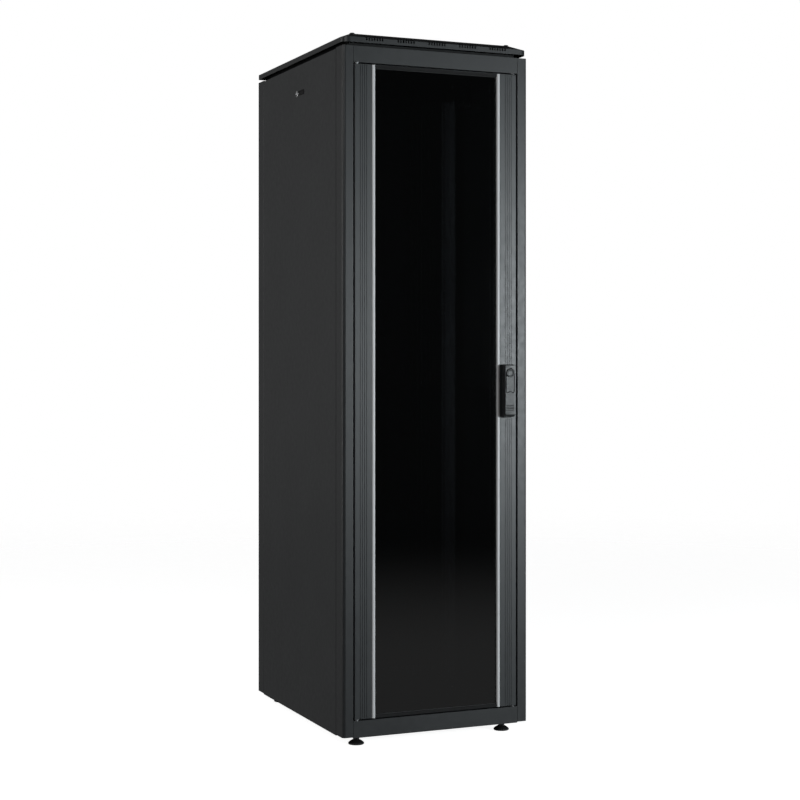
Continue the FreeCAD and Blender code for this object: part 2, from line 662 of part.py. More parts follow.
# ---------------------------------------------------------------- hinges
def hinge_pin(side, up):
    """Steel pin with a shoulder; up is 1 for the bottom pin and -1 for the top pin."""
    wall = FRAME_BOTTOM + BOTTOM_RAIL_HEIGHT if up > 0 else FRAME_TOP - TOP_RAIL_HEIGHT
    gap = DOOR_BOTTOM_GAP if up > 0 else DOOR_TOP_GAP
    shoulder = gap - 0.5 if up > 0 else gap - 2.5
    x = side * HINGE_X
    y = at(HINGE_DEPTH)
    pin = rod(PIN_RADIUS, (x, y, wall - up * PIN_ROOT), (x, y, wall + up * (gap + PIN_REACH)))
    collar = rod(PIN_COLLAR_RADIUS, (x, y, wall), (x, y, wall + up * shoulder))
    return join([pin, collar])


def spare_plug(side, up):
    """Plug in an unused hinge hole, for a door hung on the other side."""
    wall = FRAME_BOTTOM + BOTTOM_RAIL_HEIGHT if up > 0 else FRAME_TOP - TOP_RAIL_HEIGHT
    x = side * HINGE_X
    y = at(HINGE_DEPTH)
    head = rod(PLUG_HEAD_RADIUS, (x, y, wall), (x, y, wall + up * PLUG_HEAD))
    return join([head, rod(PIN_RADIUS, (x, y, wall + up), (x, y, wall - up * PLUG_LENGTH))])


# ---------------------------------------------------------------- front door
def door_profile():
    """Left-hand hollow door profile: grooved front face, rounded edges and a lip behind the glass."""
    x0 = -DOOR_HALF
    x1 = x0 + PROFILE_WIDTH
    edge = DOOR_EDGE_RADIUS
    outer = rounded_block(x0, x1, at(0), at(DOOR_THICK), DOOR_BOTTOM, DOOR_TOP, (edge, 0.5, 0.5, edge))
    hollow = slab(x0 + PROFILE_WALL, x1 - PROFILE_WALL, PROFILE_WALL, DOOR_THICK - PROFILE_WALL,
                  DOOR_BOTTOM, DOOR_TOP)
    lip = slab(x1 - 1, x1 + STRIP_WIDTH - 0.5, GLASS_LIP_DEPTH, GLASS_LIP_DEPTH + PROFILE_WALL,
               DOOR_BOTTOM, DOOR_TOP)
    middle = (x0 + x1) / 2
    grooves = []
    for index in range(GROOVES):
        x = middle + (index - (GROOVES - 1) / 2) * GROOVE_PITCH
        grooves.append(slab(x - GROOVE_WIDTH / 2, x + GROOVE_WIDTH / 2, -1, GROOVE_DEPTH, DOOR_BOTTOM, DOOR_TOP))
    return cut(join([outer.cut(hollow), lip]), grooves)


def right_door_profile():
    """Right-hand door profile, bored for the handle's spindle."""
    bores = [across(SPINDLE_RADIUS + 0.5, HANDLE_X, TILT_Z, -1, DOOR_THICK + 1)]
    return cut(mirror_x(door_profile()), bores)


def corner_block(side, up):
    """Block closing one end of a door profile, bored for a hinge pin."""
    x0 = DOOR_HALF - PROFILE_WIDTH + PROFILE_WALL
    x1 = DOOR_HALF - PROFILE_WALL
    z0 = DOOR_BOTTOM if up > 0 else DOOR_TOP - BLOCK_HEIGHT
    block = slab(x0, x1, PROFILE_WALL, DOOR_THICK - PROFILE_WALL, z0, z0 + BLOCK_HEIGHT)
    block = block.cut(upright(PIN_BORE, HINGE_X, at(HINGE_DEPTH), z0 - 1, z0 + BLOCK_HEIGHT + 1))
    return block if side > 0 else mirror_x(block)


def door_band(up):
    """Cross band of the door: a slim front face and a tongue held with the glass."""
    z0 = DOOR_BOTTOM if up > 0 else DOOR_TOP - BAND_HEIGHT
    z1 = z0 + BAND_HEIGHT
    front_half = DOOR_HALF - PROFILE_WIDTH - STRIP_WIDTH
    face = slab(-front_half, front_half, 0, GLASS_FRONT, z0, z1)
    tongue_half = front_half + STRIP_WIDTH - 0.5
    tongue = slab(-tongue_half, tongue_half, GLASS_FRONT, GLASS_LIP_DEPTH, z0, z1)
    return join([face, tongue])


def door_strip():
    """Left-hand half-round trim strip beside the glass."""
    x0 = -DOOR_HALF + PROFILE_WIDTH
    x1 = x0 + STRIP_WIDTH
    z = DOOR_BOTTOM
    shoulder = at(STRIP_CREST)
    crest = FreeCAD.Vector((x0 + x1) / 2, at(-STRIP_CREST), z)
    left = FreeCAD.Vector(x0, shoulder, z)
    right = FreeCAD.Vector(x1, shoulder, z)
    back_left = FreeCAD.Vector(x0, at(STRIP_BACK), z)
    back_right = FreeCAD.Vector(x1, at(STRIP_BACK), z)
    outline = Part.Wire([Part.Arc(left, crest, right).toShape(), Part.makeLine(right, back_right),
                         Part.makeLine(back_right, back_left), Part.makeLine(back_left, left)])
    return Part.Face(outline).extrude(FreeCAD.Vector(0, 0, DOOR_TOP - DOOR_BOTTOM))


def door_glass():
    """Safety glass pane between the two profiles."""
    half = DOOR_HALF - PROFILE_WIDTH - 0.5
    return slab(-half, half, GLASS_FRONT, GLASS_FRONT + GLASS_THICK,
                DOOR_BOTTOM + BAND_HEIGHT + 0.5, DOOR_TOP - BAND_HEIGHT - 0.5)


def door_seal():
    """Rubber ring on the back of a front door."""
    z0 = DOOR_BOTTOM + SEAL_MARGIN
    z1 = DOOR_TOP - SEAL_MARGIN
    return ring(SEAL_OUTER, SEAL_OUTER - SEAL_WIDTH, DOOR_THICK, DOOR_THICK + SEAL_THICK, z0, z1, SEAL_WIDTH)


# ---------------------------------------------------------------- swing handle
def handle_prism(width, z0, z1, depth0, depth1, radius):
    """A block along Y with rounded vertical ends seen from the front."""
    face_outline = rounded_outline(HANDLE_X - width / 2, HANDLE_X + width / 2, z0, z1, 0, (radius,) * 4)
    block = Part.Face(face_outline).extrude(FreeCAD.Vector(0, 0, depth1 - depth0))
    block.rotate(FreeCAD.Vector(0, 0, 0), FreeCAD.Vector(1, 0, 0), 90)
    block.translate(FreeCAD.Vector(0, at(depth1), 0))
    return block


def handle_housing():
    """Base of the handle on the door, bored for the rotor's hub and the spindle."""
    base = handle_prism(HANDLE_WIDTH, HANDLE_BOTTOM, HANDLE_BOTTOM + HANDLE_HEIGHT, -HOUSING_PROUD, 0,
                        HANDLE_CORNER_RADIUS)
    return base.cut(across(HUB_RADIUS, HANDLE_X, TILT_Z, -HOUSING_PROUD - 1, 1))


def handle_rotor():
    """Rotor: hub, tongue for the tilt pin, spindle through the door, pinion and latch cam."""
    hub = across(HUB_RADIUS - 0.05, HANDLE_X, TILT_Z, -HOUSING_PROUD, -HUB_FACE_GAP)
    half = TONGUE_HALF_WIDTH
    tongue_end = rod(TONGUE_RADIUS, (HANDLE_X - half, at(-TILT_DEPTH), TILT_Z),
                     (HANDLE_X + half, at(-TILT_DEPTH), TILT_Z))
    neck = slab(HANDLE_X - half, HANDLE_X + half, -TILT_DEPTH, -HOUSING_PROUD + 1,
                TILT_Z - TONGUE_RADIUS, TILT_Z + TONGUE_RADIUS)
    cam_front = GEARBOX_BACK + 1
    cam_back = cam_front + CAM_THICK
    spindle = across(SPINDLE_RADIUS, HANDLE_X, TILT_Z, -1, cam_back + 1)
    pinion = across(PINION_RADIUS, HANDLE_X, TILT_Z, ROD_DEPTH - ROD_RADIUS, ROD_DEPTH + ROD_RADIUS)
    cam_plate = slab(HANDLE_X, HANDLE_X + CAM_REACH, cam_front, cam_back,
                     TILT_Z - CAM_HALF_HEIGHT, TILT_Z + CAM_HALF_HEIGHT)
    cam_hub = across(CAM_HALF_HEIGHT, HANDLE_X, TILT_Z, cam_front, cam_back)
    rotor = join([hub, tongue_end, neck, spindle, pinion, cam_plate, cam_hub])
    return rotor.cut(tilt_pin(0, 30))


def tilt_pin(slack, length):
    """Cross pin that joins the lever to the rotor."""
    y = at(-TILT_DEPTH)
    return rod(TILT_PIN_RADIUS + slack, (HANDLE_X - length / 2, y, TILT_Z), (HANDLE_X + length / 2, y, TILT_Z))


def handle_lever():
    """Grip that stands in front of the housing, forked at the bottom over the rotor's tongue."""
    top = HANDLE_BOTTOM + HANDLE_HEIGHT
    grip = handle_prism(HANDLE_WIDTH, TILT_Z, top, -LEVER_FRONT, -LEVER_BACK, HANDLE_CORNER_RADIUS)
    square_foot = slab(HANDLE_X - HANDLE_WIDTH / 2, HANDLE_X + HANDLE_WIDTH / 2, -LEVER_FRONT, -LEVER_BACK,
                       TILT_Z, TILT_Z + 10)
    knuckle = rod(KNUCKLE_RADIUS, (HANDLE_X - HANDLE_WIDTH / 2, at(-TILT_DEPTH), TILT_Z),
                  (HANDLE_X + HANDLE_WIDTH / 2, at(-TILT_DEPTH), TILT_Z))
    fork = slab(HANDLE_X - 4.3, HANDLE_X + 4.3, -LEVER_FRONT + 2, -LEVER_BACK + 1,
                TILT_Z - KNUCKLE_RADIUS - 1, TILT_Z + 7.5)
    lock_bore = across(CYLINDER_RADIUS + 0.05, HANDLE_X, cap_z(), -LEVER_FRONT - 1, -LEVER_BACK - 3)
    pivot_hole = across(CAP_PIVOT_RADIUS + 0.05, HANDLE_X, cap_z() + CAP_PIVOT_RISE,
                        -LEVER_FRONT - 1, -LEVER_FRONT + 6)
    return cut(join([grip, square_foot, knuckle]), [fork, lock_bore, pivot_hole, tilt_pin(0.05, HANDLE_WIDTH - 6)])


def cap_z():
    """Height of the lock in the lever."""
    return HANDLE_BOTTOM + HANDLE_HEIGHT - CAP_DROP


def lock_cylinder():
    """Key cylinder in the lever, with a keyway."""
    barrel = across(CYLINDER_RADIUS, HANDLE_X, cap_z(), -LEVER_FRONT + 0.2, -LEVER_BACK - 3.2)
    keyway = slab(HANDLE_X - KEY_WIDTH / 2, HANDLE_X + KEY_WIDTH / 2, -LEVER_FRONT - 1, -LEVER_FRONT + 10,
                  cap_z() - KEY_HEIGHT / 2, cap_z() + KEY_HEIGHT / 2)
    return barrel.cut(keyway)


def dust_cover():
    """Round cap that swings aside on its pivot to free the keyway."""
    cap = across(CAP_RADIUS, HANDLE_X, cap_z(), -HANDLE_PROUD, -LEVER_FRONT - 0.4)
    pivot = across(CAP_PIVOT_RADIUS, HANDLE_X, cap_z() + CAP_PIVOT_RISE, -LEVER_FRONT - 1, -LEVER_FRONT + 5)
    return join([cap, pivot])


def lock_gearbox():
    """Hollow box on the back of the door that turns the handle's motion into the rods' travel."""
    x0 = ROD_X - 8
    x1 = HANDLE_X + 11
    z0 = TILT_Z - GEARBOX_HALF_HEIGHT
    z1 = TILT_Z + GEARBOX_HALF_HEIGHT
    shell = slab(x0, x1, DOOR_THICK, GEARBOX_BACK, z0, z1)
    sheet = GEARBOX_SHEET
    hollow = slab(x0 + sheet, x1 - sheet, DOOR_THICK + sheet, GEARBOX_BACK - sheet, z0 + sheet, z1 - sheet)
    bores = [across(SPINDLE_RADIUS + RUNNING_FIT, HANDLE_X, TILT_Z, DOOR_THICK - 1, GEARBOX_BACK + 1),
             upright(ROD_RADIUS + RUNNING_FIT, ROD_X, at(ROD_DEPTH), z0 - 1, z1 + 1)]
    return cut(shell, [hollow] + bores)


def locking_rod(up):
    """Round rod that reaches from the gearbox to the frame's lip at the top or the bottom of the door."""
    inner = TILT_Z + up * (ROD_TRAVEL / 2 + 11)
    tip = FRAME_TOP - TOP_RAIL_HEIGHT - LIP_RAIL_HEIGHT - 1
    if up < 0:
        tip = FRAME_BOTTOM + BOTTOM_RAIL_HEIGHT + LIP_RAIL_HEIGHT + 1
    return rod(ROD_RADIUS, (ROD_X, at(ROD_DEPTH), inner), (ROD_X, at(ROD_DEPTH), tip))


def rod_guides():
    """Guide blocks that hold the locking rods against the door."""
    guides = []
    for z in ROD_GUIDE_HEIGHTS:
        block = slab(ROD_X - 7, ROD_X + 7, DOOR_THICK, ROD_DEPTH + 7, z - 7, z + 7)
        guides.append(block.cut(upright(ROD_RADIUS + RUNNING_FIT, ROD_X, at(ROD_DEPTH), z - 8, z + 8)))
    return guides


# ---------------------------------------------------------------- rear door
def rear_door_panel():
    """Sheet-steel tray with rounded edges, hinge blocks, an inner stiffener and a lock hole."""
    edge = DOOR_EDGE_RADIUS
    sheet = THIN_SHEET
    outer = rounded_block(-DOOR_HALF, DOOR_HALF, at(0), at(DOOR_THICK), DOOR_BOTTOM, DOOR_TOP, (edge, edge, 0, 0))
    inside = rounded_block(-DOOR_HALF + sheet, DOOR_HALF - sheet, at(sheet), at(DOOR_THICK) + 1,
                           DOOR_BOTTOM + sheet, DOOR_TOP - sheet, (edge - sheet, edge - sheet, 0, 0))
    turned_edge = ring(DOOR_HALF, DOOR_HALF - REAR_DOOR_TURNED_EDGE, DOOR_THICK - sheet, DOOR_THICK,
                       DOOR_BOTTOM, DOOR_TOP, REAR_DOOR_TURNED_EDGE)
    blocks = []
    for z0 in (DOOR_BOTTOM, DOOR_TOP - BLOCK_HEIGHT):
        blocks.append(slab(HINGE_X - 8, DOOR_HALF - 1, sheet / 2, DOOR_THICK - sheet / 2, z0, z0 + BLOCK_HEIGHT))
    stiffener = slab(-STIFFENER_HALF_WIDTH, STIFFENER_HALF_WIDTH, sheet / 2, DOOR_THICK - 4,
                     DOOR_BOTTOM + 30, DOOR_TOP - 30)
    lock_boss = across(LOCK_BOSS_RADIUS, REAR_LOCK_X, REAR_LOCK_Z, sheet / 2, DOOR_THICK)
    tray = join([outer.cut(inside), turned_edge, stiffener, lock_boss] + blocks)
    bores = [upright(PIN_BORE, HINGE_X, at(HINGE_DEPTH), DOOR_BOTTOM - 1, DOOR_BOTTOM + BLOCK_HEIGHT + 1),
             upright(PIN_BORE, HINGE_X, at(HINGE_DEPTH), DOOR_TOP - BLOCK_HEIGHT - 1, DOOR_TOP + 1),
             across(REAR_LOCK_RADIUS + RUNNING_FIT, REAR_LOCK_X, REAR_LOCK_Z, -1, DOOR_THICK + 1)]
    return mirror_y(cut(tray, bores))


def rear_lock():
    """Key lock of the rear door: collar, barrel and a latch cam that stops just short of the frame's lip."""
    x = REAR_LOCK_X
    z = REAR_LOCK_Z
    collar = across(REAR_LOCK_RADIUS + 3, x, z, -REAR_LOCK_PROUD, -0.2)
    barrel = across(REAR_LOCK_RADIUS, x, z, -1, DOOR_THICK + 12)
    cam = slab(-LIP_INNER_X + 1.5, x, DOOR_THICK + 8, DOOR_THICK + 11, z - 8, z + 8)
    keyway = slab(x - KEY_WIDTH / 2, x + KEY_WIDTH / 2, -REAR_LOCK_PROUD - 1, 6,
                  z - KEY_HEIGHT / 2, z + KEY_HEIGHT / 2)
    return mirror_y(join([collar, barrel, cam]).cut(keyway))


# ---------------------------------------------------------------- side panels
def side_panel():
    """Right-hand removable side panel: a sheet with turned-in edges and a bored lock boss."""
    y0 = at(POST_SIDE_FACE + PANEL_SEAM)
    y1 = at(FRAME_DEPTH - POST_SIDE_FACE - PANEL_SEAM)
    tray = box(HALF - PANEL_FLANGE, HALF, y0, y1, PANEL_BOTTOM, PANEL_TOP)
    s = PANEL_SHEET
    inside = box(HALF - PANEL_FLANGE - 1, HALF - s, y0 + s, y1 - s, PANEL_BOTTOM + s, PANEL_TOP - s)
    boss = rod(LOCK_BOSS_RADIUS, (HALF - LOCK_BOSS_DEPTH, SIDE_LOCK_Y, SIDE_LOCK_Z),
               (HALF - s / 2, SIDE_LOCK_Y, SIDE_LOCK_Z))
    bore = rod(SIDE_BARREL_RADIUS + RUNNING_FIT, (HALF - 20, SIDE_LOCK_Y, SIDE_LOCK_Z),
               (HALF + 1, SIDE_LOCK_Y, SIDE_LOCK_Z))
    return join([tray.cut(inside), boss]).cut(bore)


def side_lock():
    """Right-hand key lock: chromed collar, barrel and the cam that turns up behind the keeper."""
    y = SIDE_LOCK_Y
    z = SIDE_LOCK_Z
    inner_end = HALF - SIDE_BARREL_LENGTH
    collar = rod(SIDE_LOCK_RADIUS, (HALF + 0.1, y, z), (HALF + SIDE_LOCK_PROUD, y, z))
    barrel = rod(SIDE_BARREL_RADIUS, (inner_end, y, z), (HALF + 1, y, z))
    cam = box(inner_end, inner_end + CAM_THICK, y, y + SIDE_CAM_REACH, z - 7, z + 7)
    keyway = box(HALF - 4, HALF + 2, y - KEY_WIDTH / 2, y + KEY_WIDTH / 2, z - KEY_HEIGHT / 2, z + KEY_HEIGHT / 2)
    return join([collar, barrel, cam]).cut(keyway)


# ---------------------------------------------------------------- the whole cabinet
def build():
    """Make every piece of the cabinet and write it under its own name."""
    os.makedirs(OUT, exist_ok=True)
    front_post = front_right_post(POST_CORNER_RADIUS)
    save("post_front_right", front_post)
    save("post_front_left", mirror_x(front_post))
    rear_post = mirror_y(front_right_post(REAR_POST_CORNER_RADIUS))
    save("post_rear_right", rear_post)
    save("post_rear_left", mirror_x(rear_post))
    for level, rail in (("top", top_rail()), ("bottom", bottom_rail())):
        save("rail_front_" + level, rail)
        save("rail_rear_" + level, mirror_y(rail))
    for level, member in (("top", top_beam()), ("middle", middle_beam()), ("bottom", bottom_beam())):
        save("beam_" + level + "_right", member)
        save("beam_" + level + "_left", mirror_x(member))
    for place, (depth, way) in zip(("front", "rear"), RACKS):
        rail = rack_rail(depth, way)
        save("rack_rail_" + place + "_right", rail)
        save("rack_rail_" + place + "_left", mirror_x(rail))
    brackets = rack_brackets()
    save("rack_rail_brackets", Part.makeCompound(brackets + [mirror_x(b) for b in brackets]))
    bolts = rack_bolts()
    save("rack_rail_bolts", Part.makeCompound(bolts + [mirror_x(b) for b in bolts]))
    save("corner_plates", Part.makeCompound(four_corners(corner_plate())))
    save("base_panel", base_panel())
    save("cable_cover", cable_cover())
    save("roof_riser", Part.makeCompound(roof_riser()))
    save("roof_lid", roof_lid())
    save("roof_screws", Part.makeCompound([roof_screw(x, y) for x, y in roof_screw_places()]))
    save("top_panel", Part.makeCompound(top_panel()))
    save("cable_brush", cable_brush())
    pins = [hinge_pin(-1, 1), hinge_pin(-1, -1), mirror_y(hinge_pin(1, 1)), mirror_y(hinge_pin(1, -1))]
    save("hinge_pins", Part.makeCompound(pins))
    plugs = [spare_plug(1, 1), spare_plug(1, -1), mirror_y(spare_plug(-1, 1)), mirror_y(spare_plug(-1, -1))]
    save("spare_hinge_plugs", Part.makeCompound(plugs))

    save("door_profile_left", door_profile())
    save("door_profile_right", right_door_profile())
    blocks = [corner_block(side, up) for side in (-1, 1) for up in (1, -1)]
    save("door_corner_blocks", Part.makeCompound(blocks))
    save("door_band_bottom", door_band(1))
    save("door_band_top", door_band(-1))
    save("door_strip_left", door_strip())
    save("door_strip_right", mirror_x(door_strip()))
    save("door_glass", door_glass())
    save("door_seal", door_seal())
    save("handle_housing", handle_housing())
    save("lock_gearbox", lock_gearbox())
    save("lock_rod_guides", Part.makeCompound(rod_guides()))
    save("handle_rotor", handle_rotor())
    save("handle_tilt_pin", tilt_pin(0, HANDLE_WIDTH - 6))
    save("handle_lever", handle_lever())
    save("lock_cylinder", lock_cylinder())
    save("dust_cover", dust_cover())
    save("lock_rod_top", locking_rod(1))
    save("lock_rod_bottom", locking_rod(-1))

    save("rear_door_panel", rear_door_panel())
    save("rear_door_seal", mirror_y(door_seal()))
    save("rear_lock", rear_lock())
    save("side_panel_right", side_panel())
    save("side_panel_left", mirror_x(side_panel()))
    save("side_lock_right", side_lock())
    save("side_lock_left", mirror_x(side_lock()))
    for side_name, side in (("left", -1), ("right", 1)):
        save("foot_front_" + side_name, Part.makeCompound(foot(side * FOOT_X, at(FOOT_DEPTH))))
        save("foot_rear_" + side_name, Part.makeCompound(foot(side * FOOT_X, at(FRAME_DEPTH - FOOT_DEPTH))))


build()
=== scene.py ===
"""Looks of the network cabinet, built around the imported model.

Lengths are metres. X runs to the right seen from the front, Y to the back and Z up from the floor.
Every new piece keeps its mesh in these coordinates, with its object at the origin.
"""
import json
import math
import random

import bmesh
import bpy
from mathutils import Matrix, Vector


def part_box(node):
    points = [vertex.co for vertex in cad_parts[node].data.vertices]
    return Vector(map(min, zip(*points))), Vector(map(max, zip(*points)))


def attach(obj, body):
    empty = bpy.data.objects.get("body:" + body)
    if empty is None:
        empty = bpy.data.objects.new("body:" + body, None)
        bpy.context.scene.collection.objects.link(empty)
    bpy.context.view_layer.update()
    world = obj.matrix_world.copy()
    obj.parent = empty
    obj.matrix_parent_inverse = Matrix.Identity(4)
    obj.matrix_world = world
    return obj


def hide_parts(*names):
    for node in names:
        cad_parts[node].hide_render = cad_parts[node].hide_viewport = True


MM = 0.001
TURN = 2 * math.pi

# ---------------------------------------------------------------- camera and studio
CAMERA_PLACE = (-2.0888, -4.9355, 1.1455)
CAMERA_YAW = 23.335
CAMERA_LENS = 76.2
CAMERA_SHIFT = -0.058
CAMERA_SENSOR = 36.0
CAMERA_CLIP = 200.0
FLOOR_RADIUS = 9.0
FLOOR_STEPS = 96
FLOOR_SOLID_RADIUS = 1.6
FLOOR_FADE_RADIUS = 7.5
FLOOR_WHITE = 0.6
FLOOR_GLOW = 0.92
POOL_RADIUS = 1.5
POOL_FADE_RADIUS = 6.4
POOL_LEVEL = 0.14
COOL_LIGHT = (0.93, 1.0, 1.03)
RAIL_LIGHT = (0.80, 0.95, 1.05)
ROOM_DARK = 0.009
ROOM_GLOW = 0.175
ROOM_GLOW_WAY = (-0.3, 1.0, -0.25)
ROOM_GLOW_START = 0.3
ROOM_GLOW_FULL = 0.95

# ---------------------------------------------------------------- finishes
NOISE_LOW = 0.3
NOISE_HIGH = 0.7
COAT_GRAIN = 1100.0
COAT_RELIEF = 0.00006
MOULD_GRAIN = 1500.0
MOULD_RELIEF = 0.00004
STREAK_RELIEF = 0.00002
GLASS_DARK = (0.0010, 0.0012, 0.0013)
GLASS_LIGHT = (0.0016, 0.0018, 0.0019)
GLASS_ALPHA = 0.80
GLASS_IOR = 2.0

# ---------------------------------------------------------------- cutters, in metres
CUT_MARGIN = 0.01
HUB_CUT_LENGTH = 0.03

# ---------------------------------------------------------------- handle, in millimetres
GRIP_CORNER = 6.0
GRIP_ROUNDING = 1.5
GRIP_TOP_EASE = 4.0
GROOVE_WIDTH = 2.4
GROOVE_DEPTH = 5.0
INSERT_HALF = 13.5
SEAM_DROP = 83.0
SEAM_WAVE = 2.2
SEAM_WAVELENGTH = 17.5
RIB_TOP_DROP = 123.5
RIB_PITCH = 4.8
RIB_COUNT = 4
RIB_HEIGHT = 2.6
RIB_STRIP_DEPTH = 1.0
HUB_CLEARANCE = 10.5
KEY_BORE_RADIUS = 8.6
KEY_BORE_DEPTH = 14.0
FORK_HALF = 4.3
FORK_SET_BACK = 2.0
FORK_RISE = 7.5
FORK_CLEARANCE = 1.0
HOUSING_ROUNDING = 1.5
HOUSING_RIM = 3.5
DISH_CORNER = 3.0
DISH_DEPTH = 5.0
DISH_LIFT = 14.0
COVER_GAP = 0.4
COVER_PIN_RADIUS = 1.5
COVER_PIN_LIFT = 10.5
COVER_PIN_OVERLAP = 0.2
KEY_SLOT_HALF_WIDTH = 0.8
KEY_SLOT_HALF_HEIGHT = 4.2
KEY_SLOT_DEPTH = 9.0

# ---------------------------------------------------------------- locks, in millimetres
KEYWAY_WIDTH = 1.6
KEYWAY_HEIGHT = 8.4
KEYWAY_DEPTH = 6.0
CAM_ROUNDING = 0.8
SIDE_BEZEL_RADIUS = 10.0
SIDE_BEZEL_GAP = 0.1
SIDE_PLUG_RADIUS = 6.6
SIDE_BARREL_RADIUS = 8.0
SIDE_CAM_THICKNESS = 3.0
SIDE_CAM_HALF = 7.0
PLATE_START = 62.0
PLATE_END = 11.2
PLATE_HALF = 7.5
PLATE_RIM = 3.0
PLATE_EDGE = 0.5
PLATE_THICKNESS = 1.3
REAR_BEZEL_RADIUS = 12.0
REAR_BEZEL_GAP = 0.2
REAR_PLUG_RADIUS = 8.0
REAR_BARREL_RADIUS = 9.0
REAR_CAM_START = 1.0
REAR_CAM_END = 4.0
REAR_CAM_HALF = 8.0

# ---------------------------------------------------------------- feet, in millimetres
THREAD_PITCH = 1.75
THREAD_DEPTH = 0.85
SCALLOPS = 18
SCALLOP_DEPTH = 1.5
HEXAGON_FLATS = 8.2
HEXAGON_BOTTOM = 12.6
HEXAGON_SHOULDER = 26.6
HEXAGON_TOP = 27.4
HEXAGON_EDGE = 0.9
STUD_RADIUS = 6.0
STUD_BOTTOM = 12.0
STUD_POINT = 1.2

# ---------------------------------------------------------------- roof and gasket, in millimetres
SCREW_HEAD_RADIUS = 8.0
SCREW_SHANK_RADIUS = 4.0
SOCKET_RADIUS = 2.5
SOCKET_FLOOR_RADIUS = 2.4
SOCKET_DEPTH = 2.2
SOCKET_ROW = 5
BRUSH_RIM = 10.0
BRUSH_ROUNDING = 0.6
TUFT_PITCH = 1.5
TUFT_SEED = 42
GASKET_BEAD = 2.2

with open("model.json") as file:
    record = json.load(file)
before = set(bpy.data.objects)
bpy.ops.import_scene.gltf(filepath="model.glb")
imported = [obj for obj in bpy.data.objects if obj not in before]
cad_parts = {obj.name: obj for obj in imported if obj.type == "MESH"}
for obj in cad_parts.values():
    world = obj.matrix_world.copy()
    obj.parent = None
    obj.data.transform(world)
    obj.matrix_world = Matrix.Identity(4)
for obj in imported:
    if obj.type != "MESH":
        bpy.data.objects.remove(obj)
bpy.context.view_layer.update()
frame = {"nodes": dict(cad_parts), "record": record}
scene = bpy.context.scene


# ---------------------------------------------------------------- materials
def new_material(name):
    """An empty node material with its output and one Principled shader."""
    material = bpy.data.materials.new(name)
    material.use_nodes = True
    tree = material.node_tree
    tree.nodes.clear()
    output = tree.nodes.new("ShaderNodeOutputMaterial")
    shader = tree.nodes.new("ShaderNodeBsdfPrincipled")
    tree.links.new(shader.outputs["BSDF"], output.inputs["Surface"])
    return material, tree, shader


def object_coordinates(tree, stretch=(1.0, 1.0, 1.0)):
    """Coordinates that stay with the piece, stretched along each axis."""
    source = tree.nodes.new("ShaderNodeTexCoord")
    mapping = tree.nodes.new("ShaderNodeMapping")
    mapping.inputs["Scale"].default_value = stretch
    tree.links.new(source.outputs["Object"], mapping.inputs["Vector"])
    return mapping.outputs["Vector"]


def noise(tree, vector, scale, detail):
    """A noise value between 0 and 1; scale is in waves per metre."""
    texture = tree.nodes.new("ShaderNodeTexNoise")
    texture.inputs["Scale"].default_value = scale
    texture.inputs["Detail"].default_value = detail
    tree.links.new(vector, texture.inputs["Vector"])
    return texture.outputs["Fac"]


def between(tree, value, low, high):
    """A noise value mapped from low to high over the part of its range that it mostly takes."""
    mapped = tree.nodes.new("ShaderNodeMapRange")
    mapped.inputs["From Min"].default_value = NOISE_LOW
    mapped.inputs["From Max"].default_value = NOISE_HIGH
    mapped.inputs["To Min"].default_value = low
    mapped.inputs["To Max"].default_value = high
    tree.links.new(value, mapped.inputs["Value"])
    return mapped.outputs["Result"]


def tint(tree, shader, value, dark, light):
    """Base colour between two colours."""
    mix = tree.nodes.new("ShaderNodeMix")
    mix.data_type = "RGBA"
    mix.inputs["A"].default_value = (*dark, 1.0)
    mix.inputs["B"].default_value = (*light, 1.0)
    tree.links.new(value, mix.inputs["Factor"])
    tree.links.new(mix.outputs["Result"], shader.inputs["Base Color"])


def emboss(tree, shader, value, distance, strength):
    """Surface relief from a value, distance metres high."""
    bump = tree.nodes.new("ShaderNodeBump")
    bump.inputs["Distance"].default_value = distance
    bump.inputs["Strength"].default_value = strength
    tree.links.new(value, bump.inputs["Height"])
    tree.links.new(bump.outputs["Normal"], shader.inputs["Normal"])


def powder_coat(name, dark, light, roughness, specular=0.5):
    """Baked powder coat: a fine pebbled surface with soft cloudy variation."""
    material, tree, shader = new_material(name)
    shader.inputs["Specular IOR Level"].default_value = specular
    vector = object_coordinates(tree)
    tint(tree, shader, between(tree, noise(tree, vector, 7.0, 3.0), 0.0, 1.0), dark, light)
    gloss = between(tree, noise(tree, vector, 60.0, 3.0), roughness - 0.03, roughness + 0.04)
    tree.links.new(gloss, shader.inputs["Roughness"])
    emboss(tree, shader, noise(tree, vector, COAT_GRAIN, 1.0), COAT_RELIEF, 0.6)
    return material


def brushed_metal(name, dark, light, roughness, stretch, scale=900.0, metallic=1.0):
    """Metal with fine streaks along one axis."""
    material, tree, shader = new_material(name)
    shader.inputs["Metallic"].default_value = metallic
    vector = object_coordinates(tree, stretch)
    streaks = noise(tree, vector, scale, 3.0)
    tint(tree, shader, between(tree, streaks, 0.0, 1.0), dark, light)
    gloss = between(tree, streaks, roughness - 0.05, roughness + 0.07)
    tree.links.new(gloss, shader.inputs["Roughness"])
    emboss(tree, shader, streaks, STREAK_RELIEF, 0.4)
    return material


def moulded(name, dark, light, roughness, specular=0.5):
    """Moulded plastic or rubber with a fine spark-eroded grain."""
    material, tree, shader = new_material(name)
    shader.inputs["Specular IOR Level"].default_value = specular
    vector = object_coordinates(tree)
    tint(tree, shader, between(tree, noise(tree, vector, 45.0, 2.0), 0.0, 1.0), dark, light)
    gloss = between(tree, noise(tree, vector, 220.0, 2.0), roughness - 0.04, roughness + 0.05)
    tree.links.new(gloss, shader.inputs["Roughness"])
    emboss(tree, shader, noise(tree, vector, MOULD_GRAIN, 1.0), MOULD_RELIEF, 0.5)
    return material


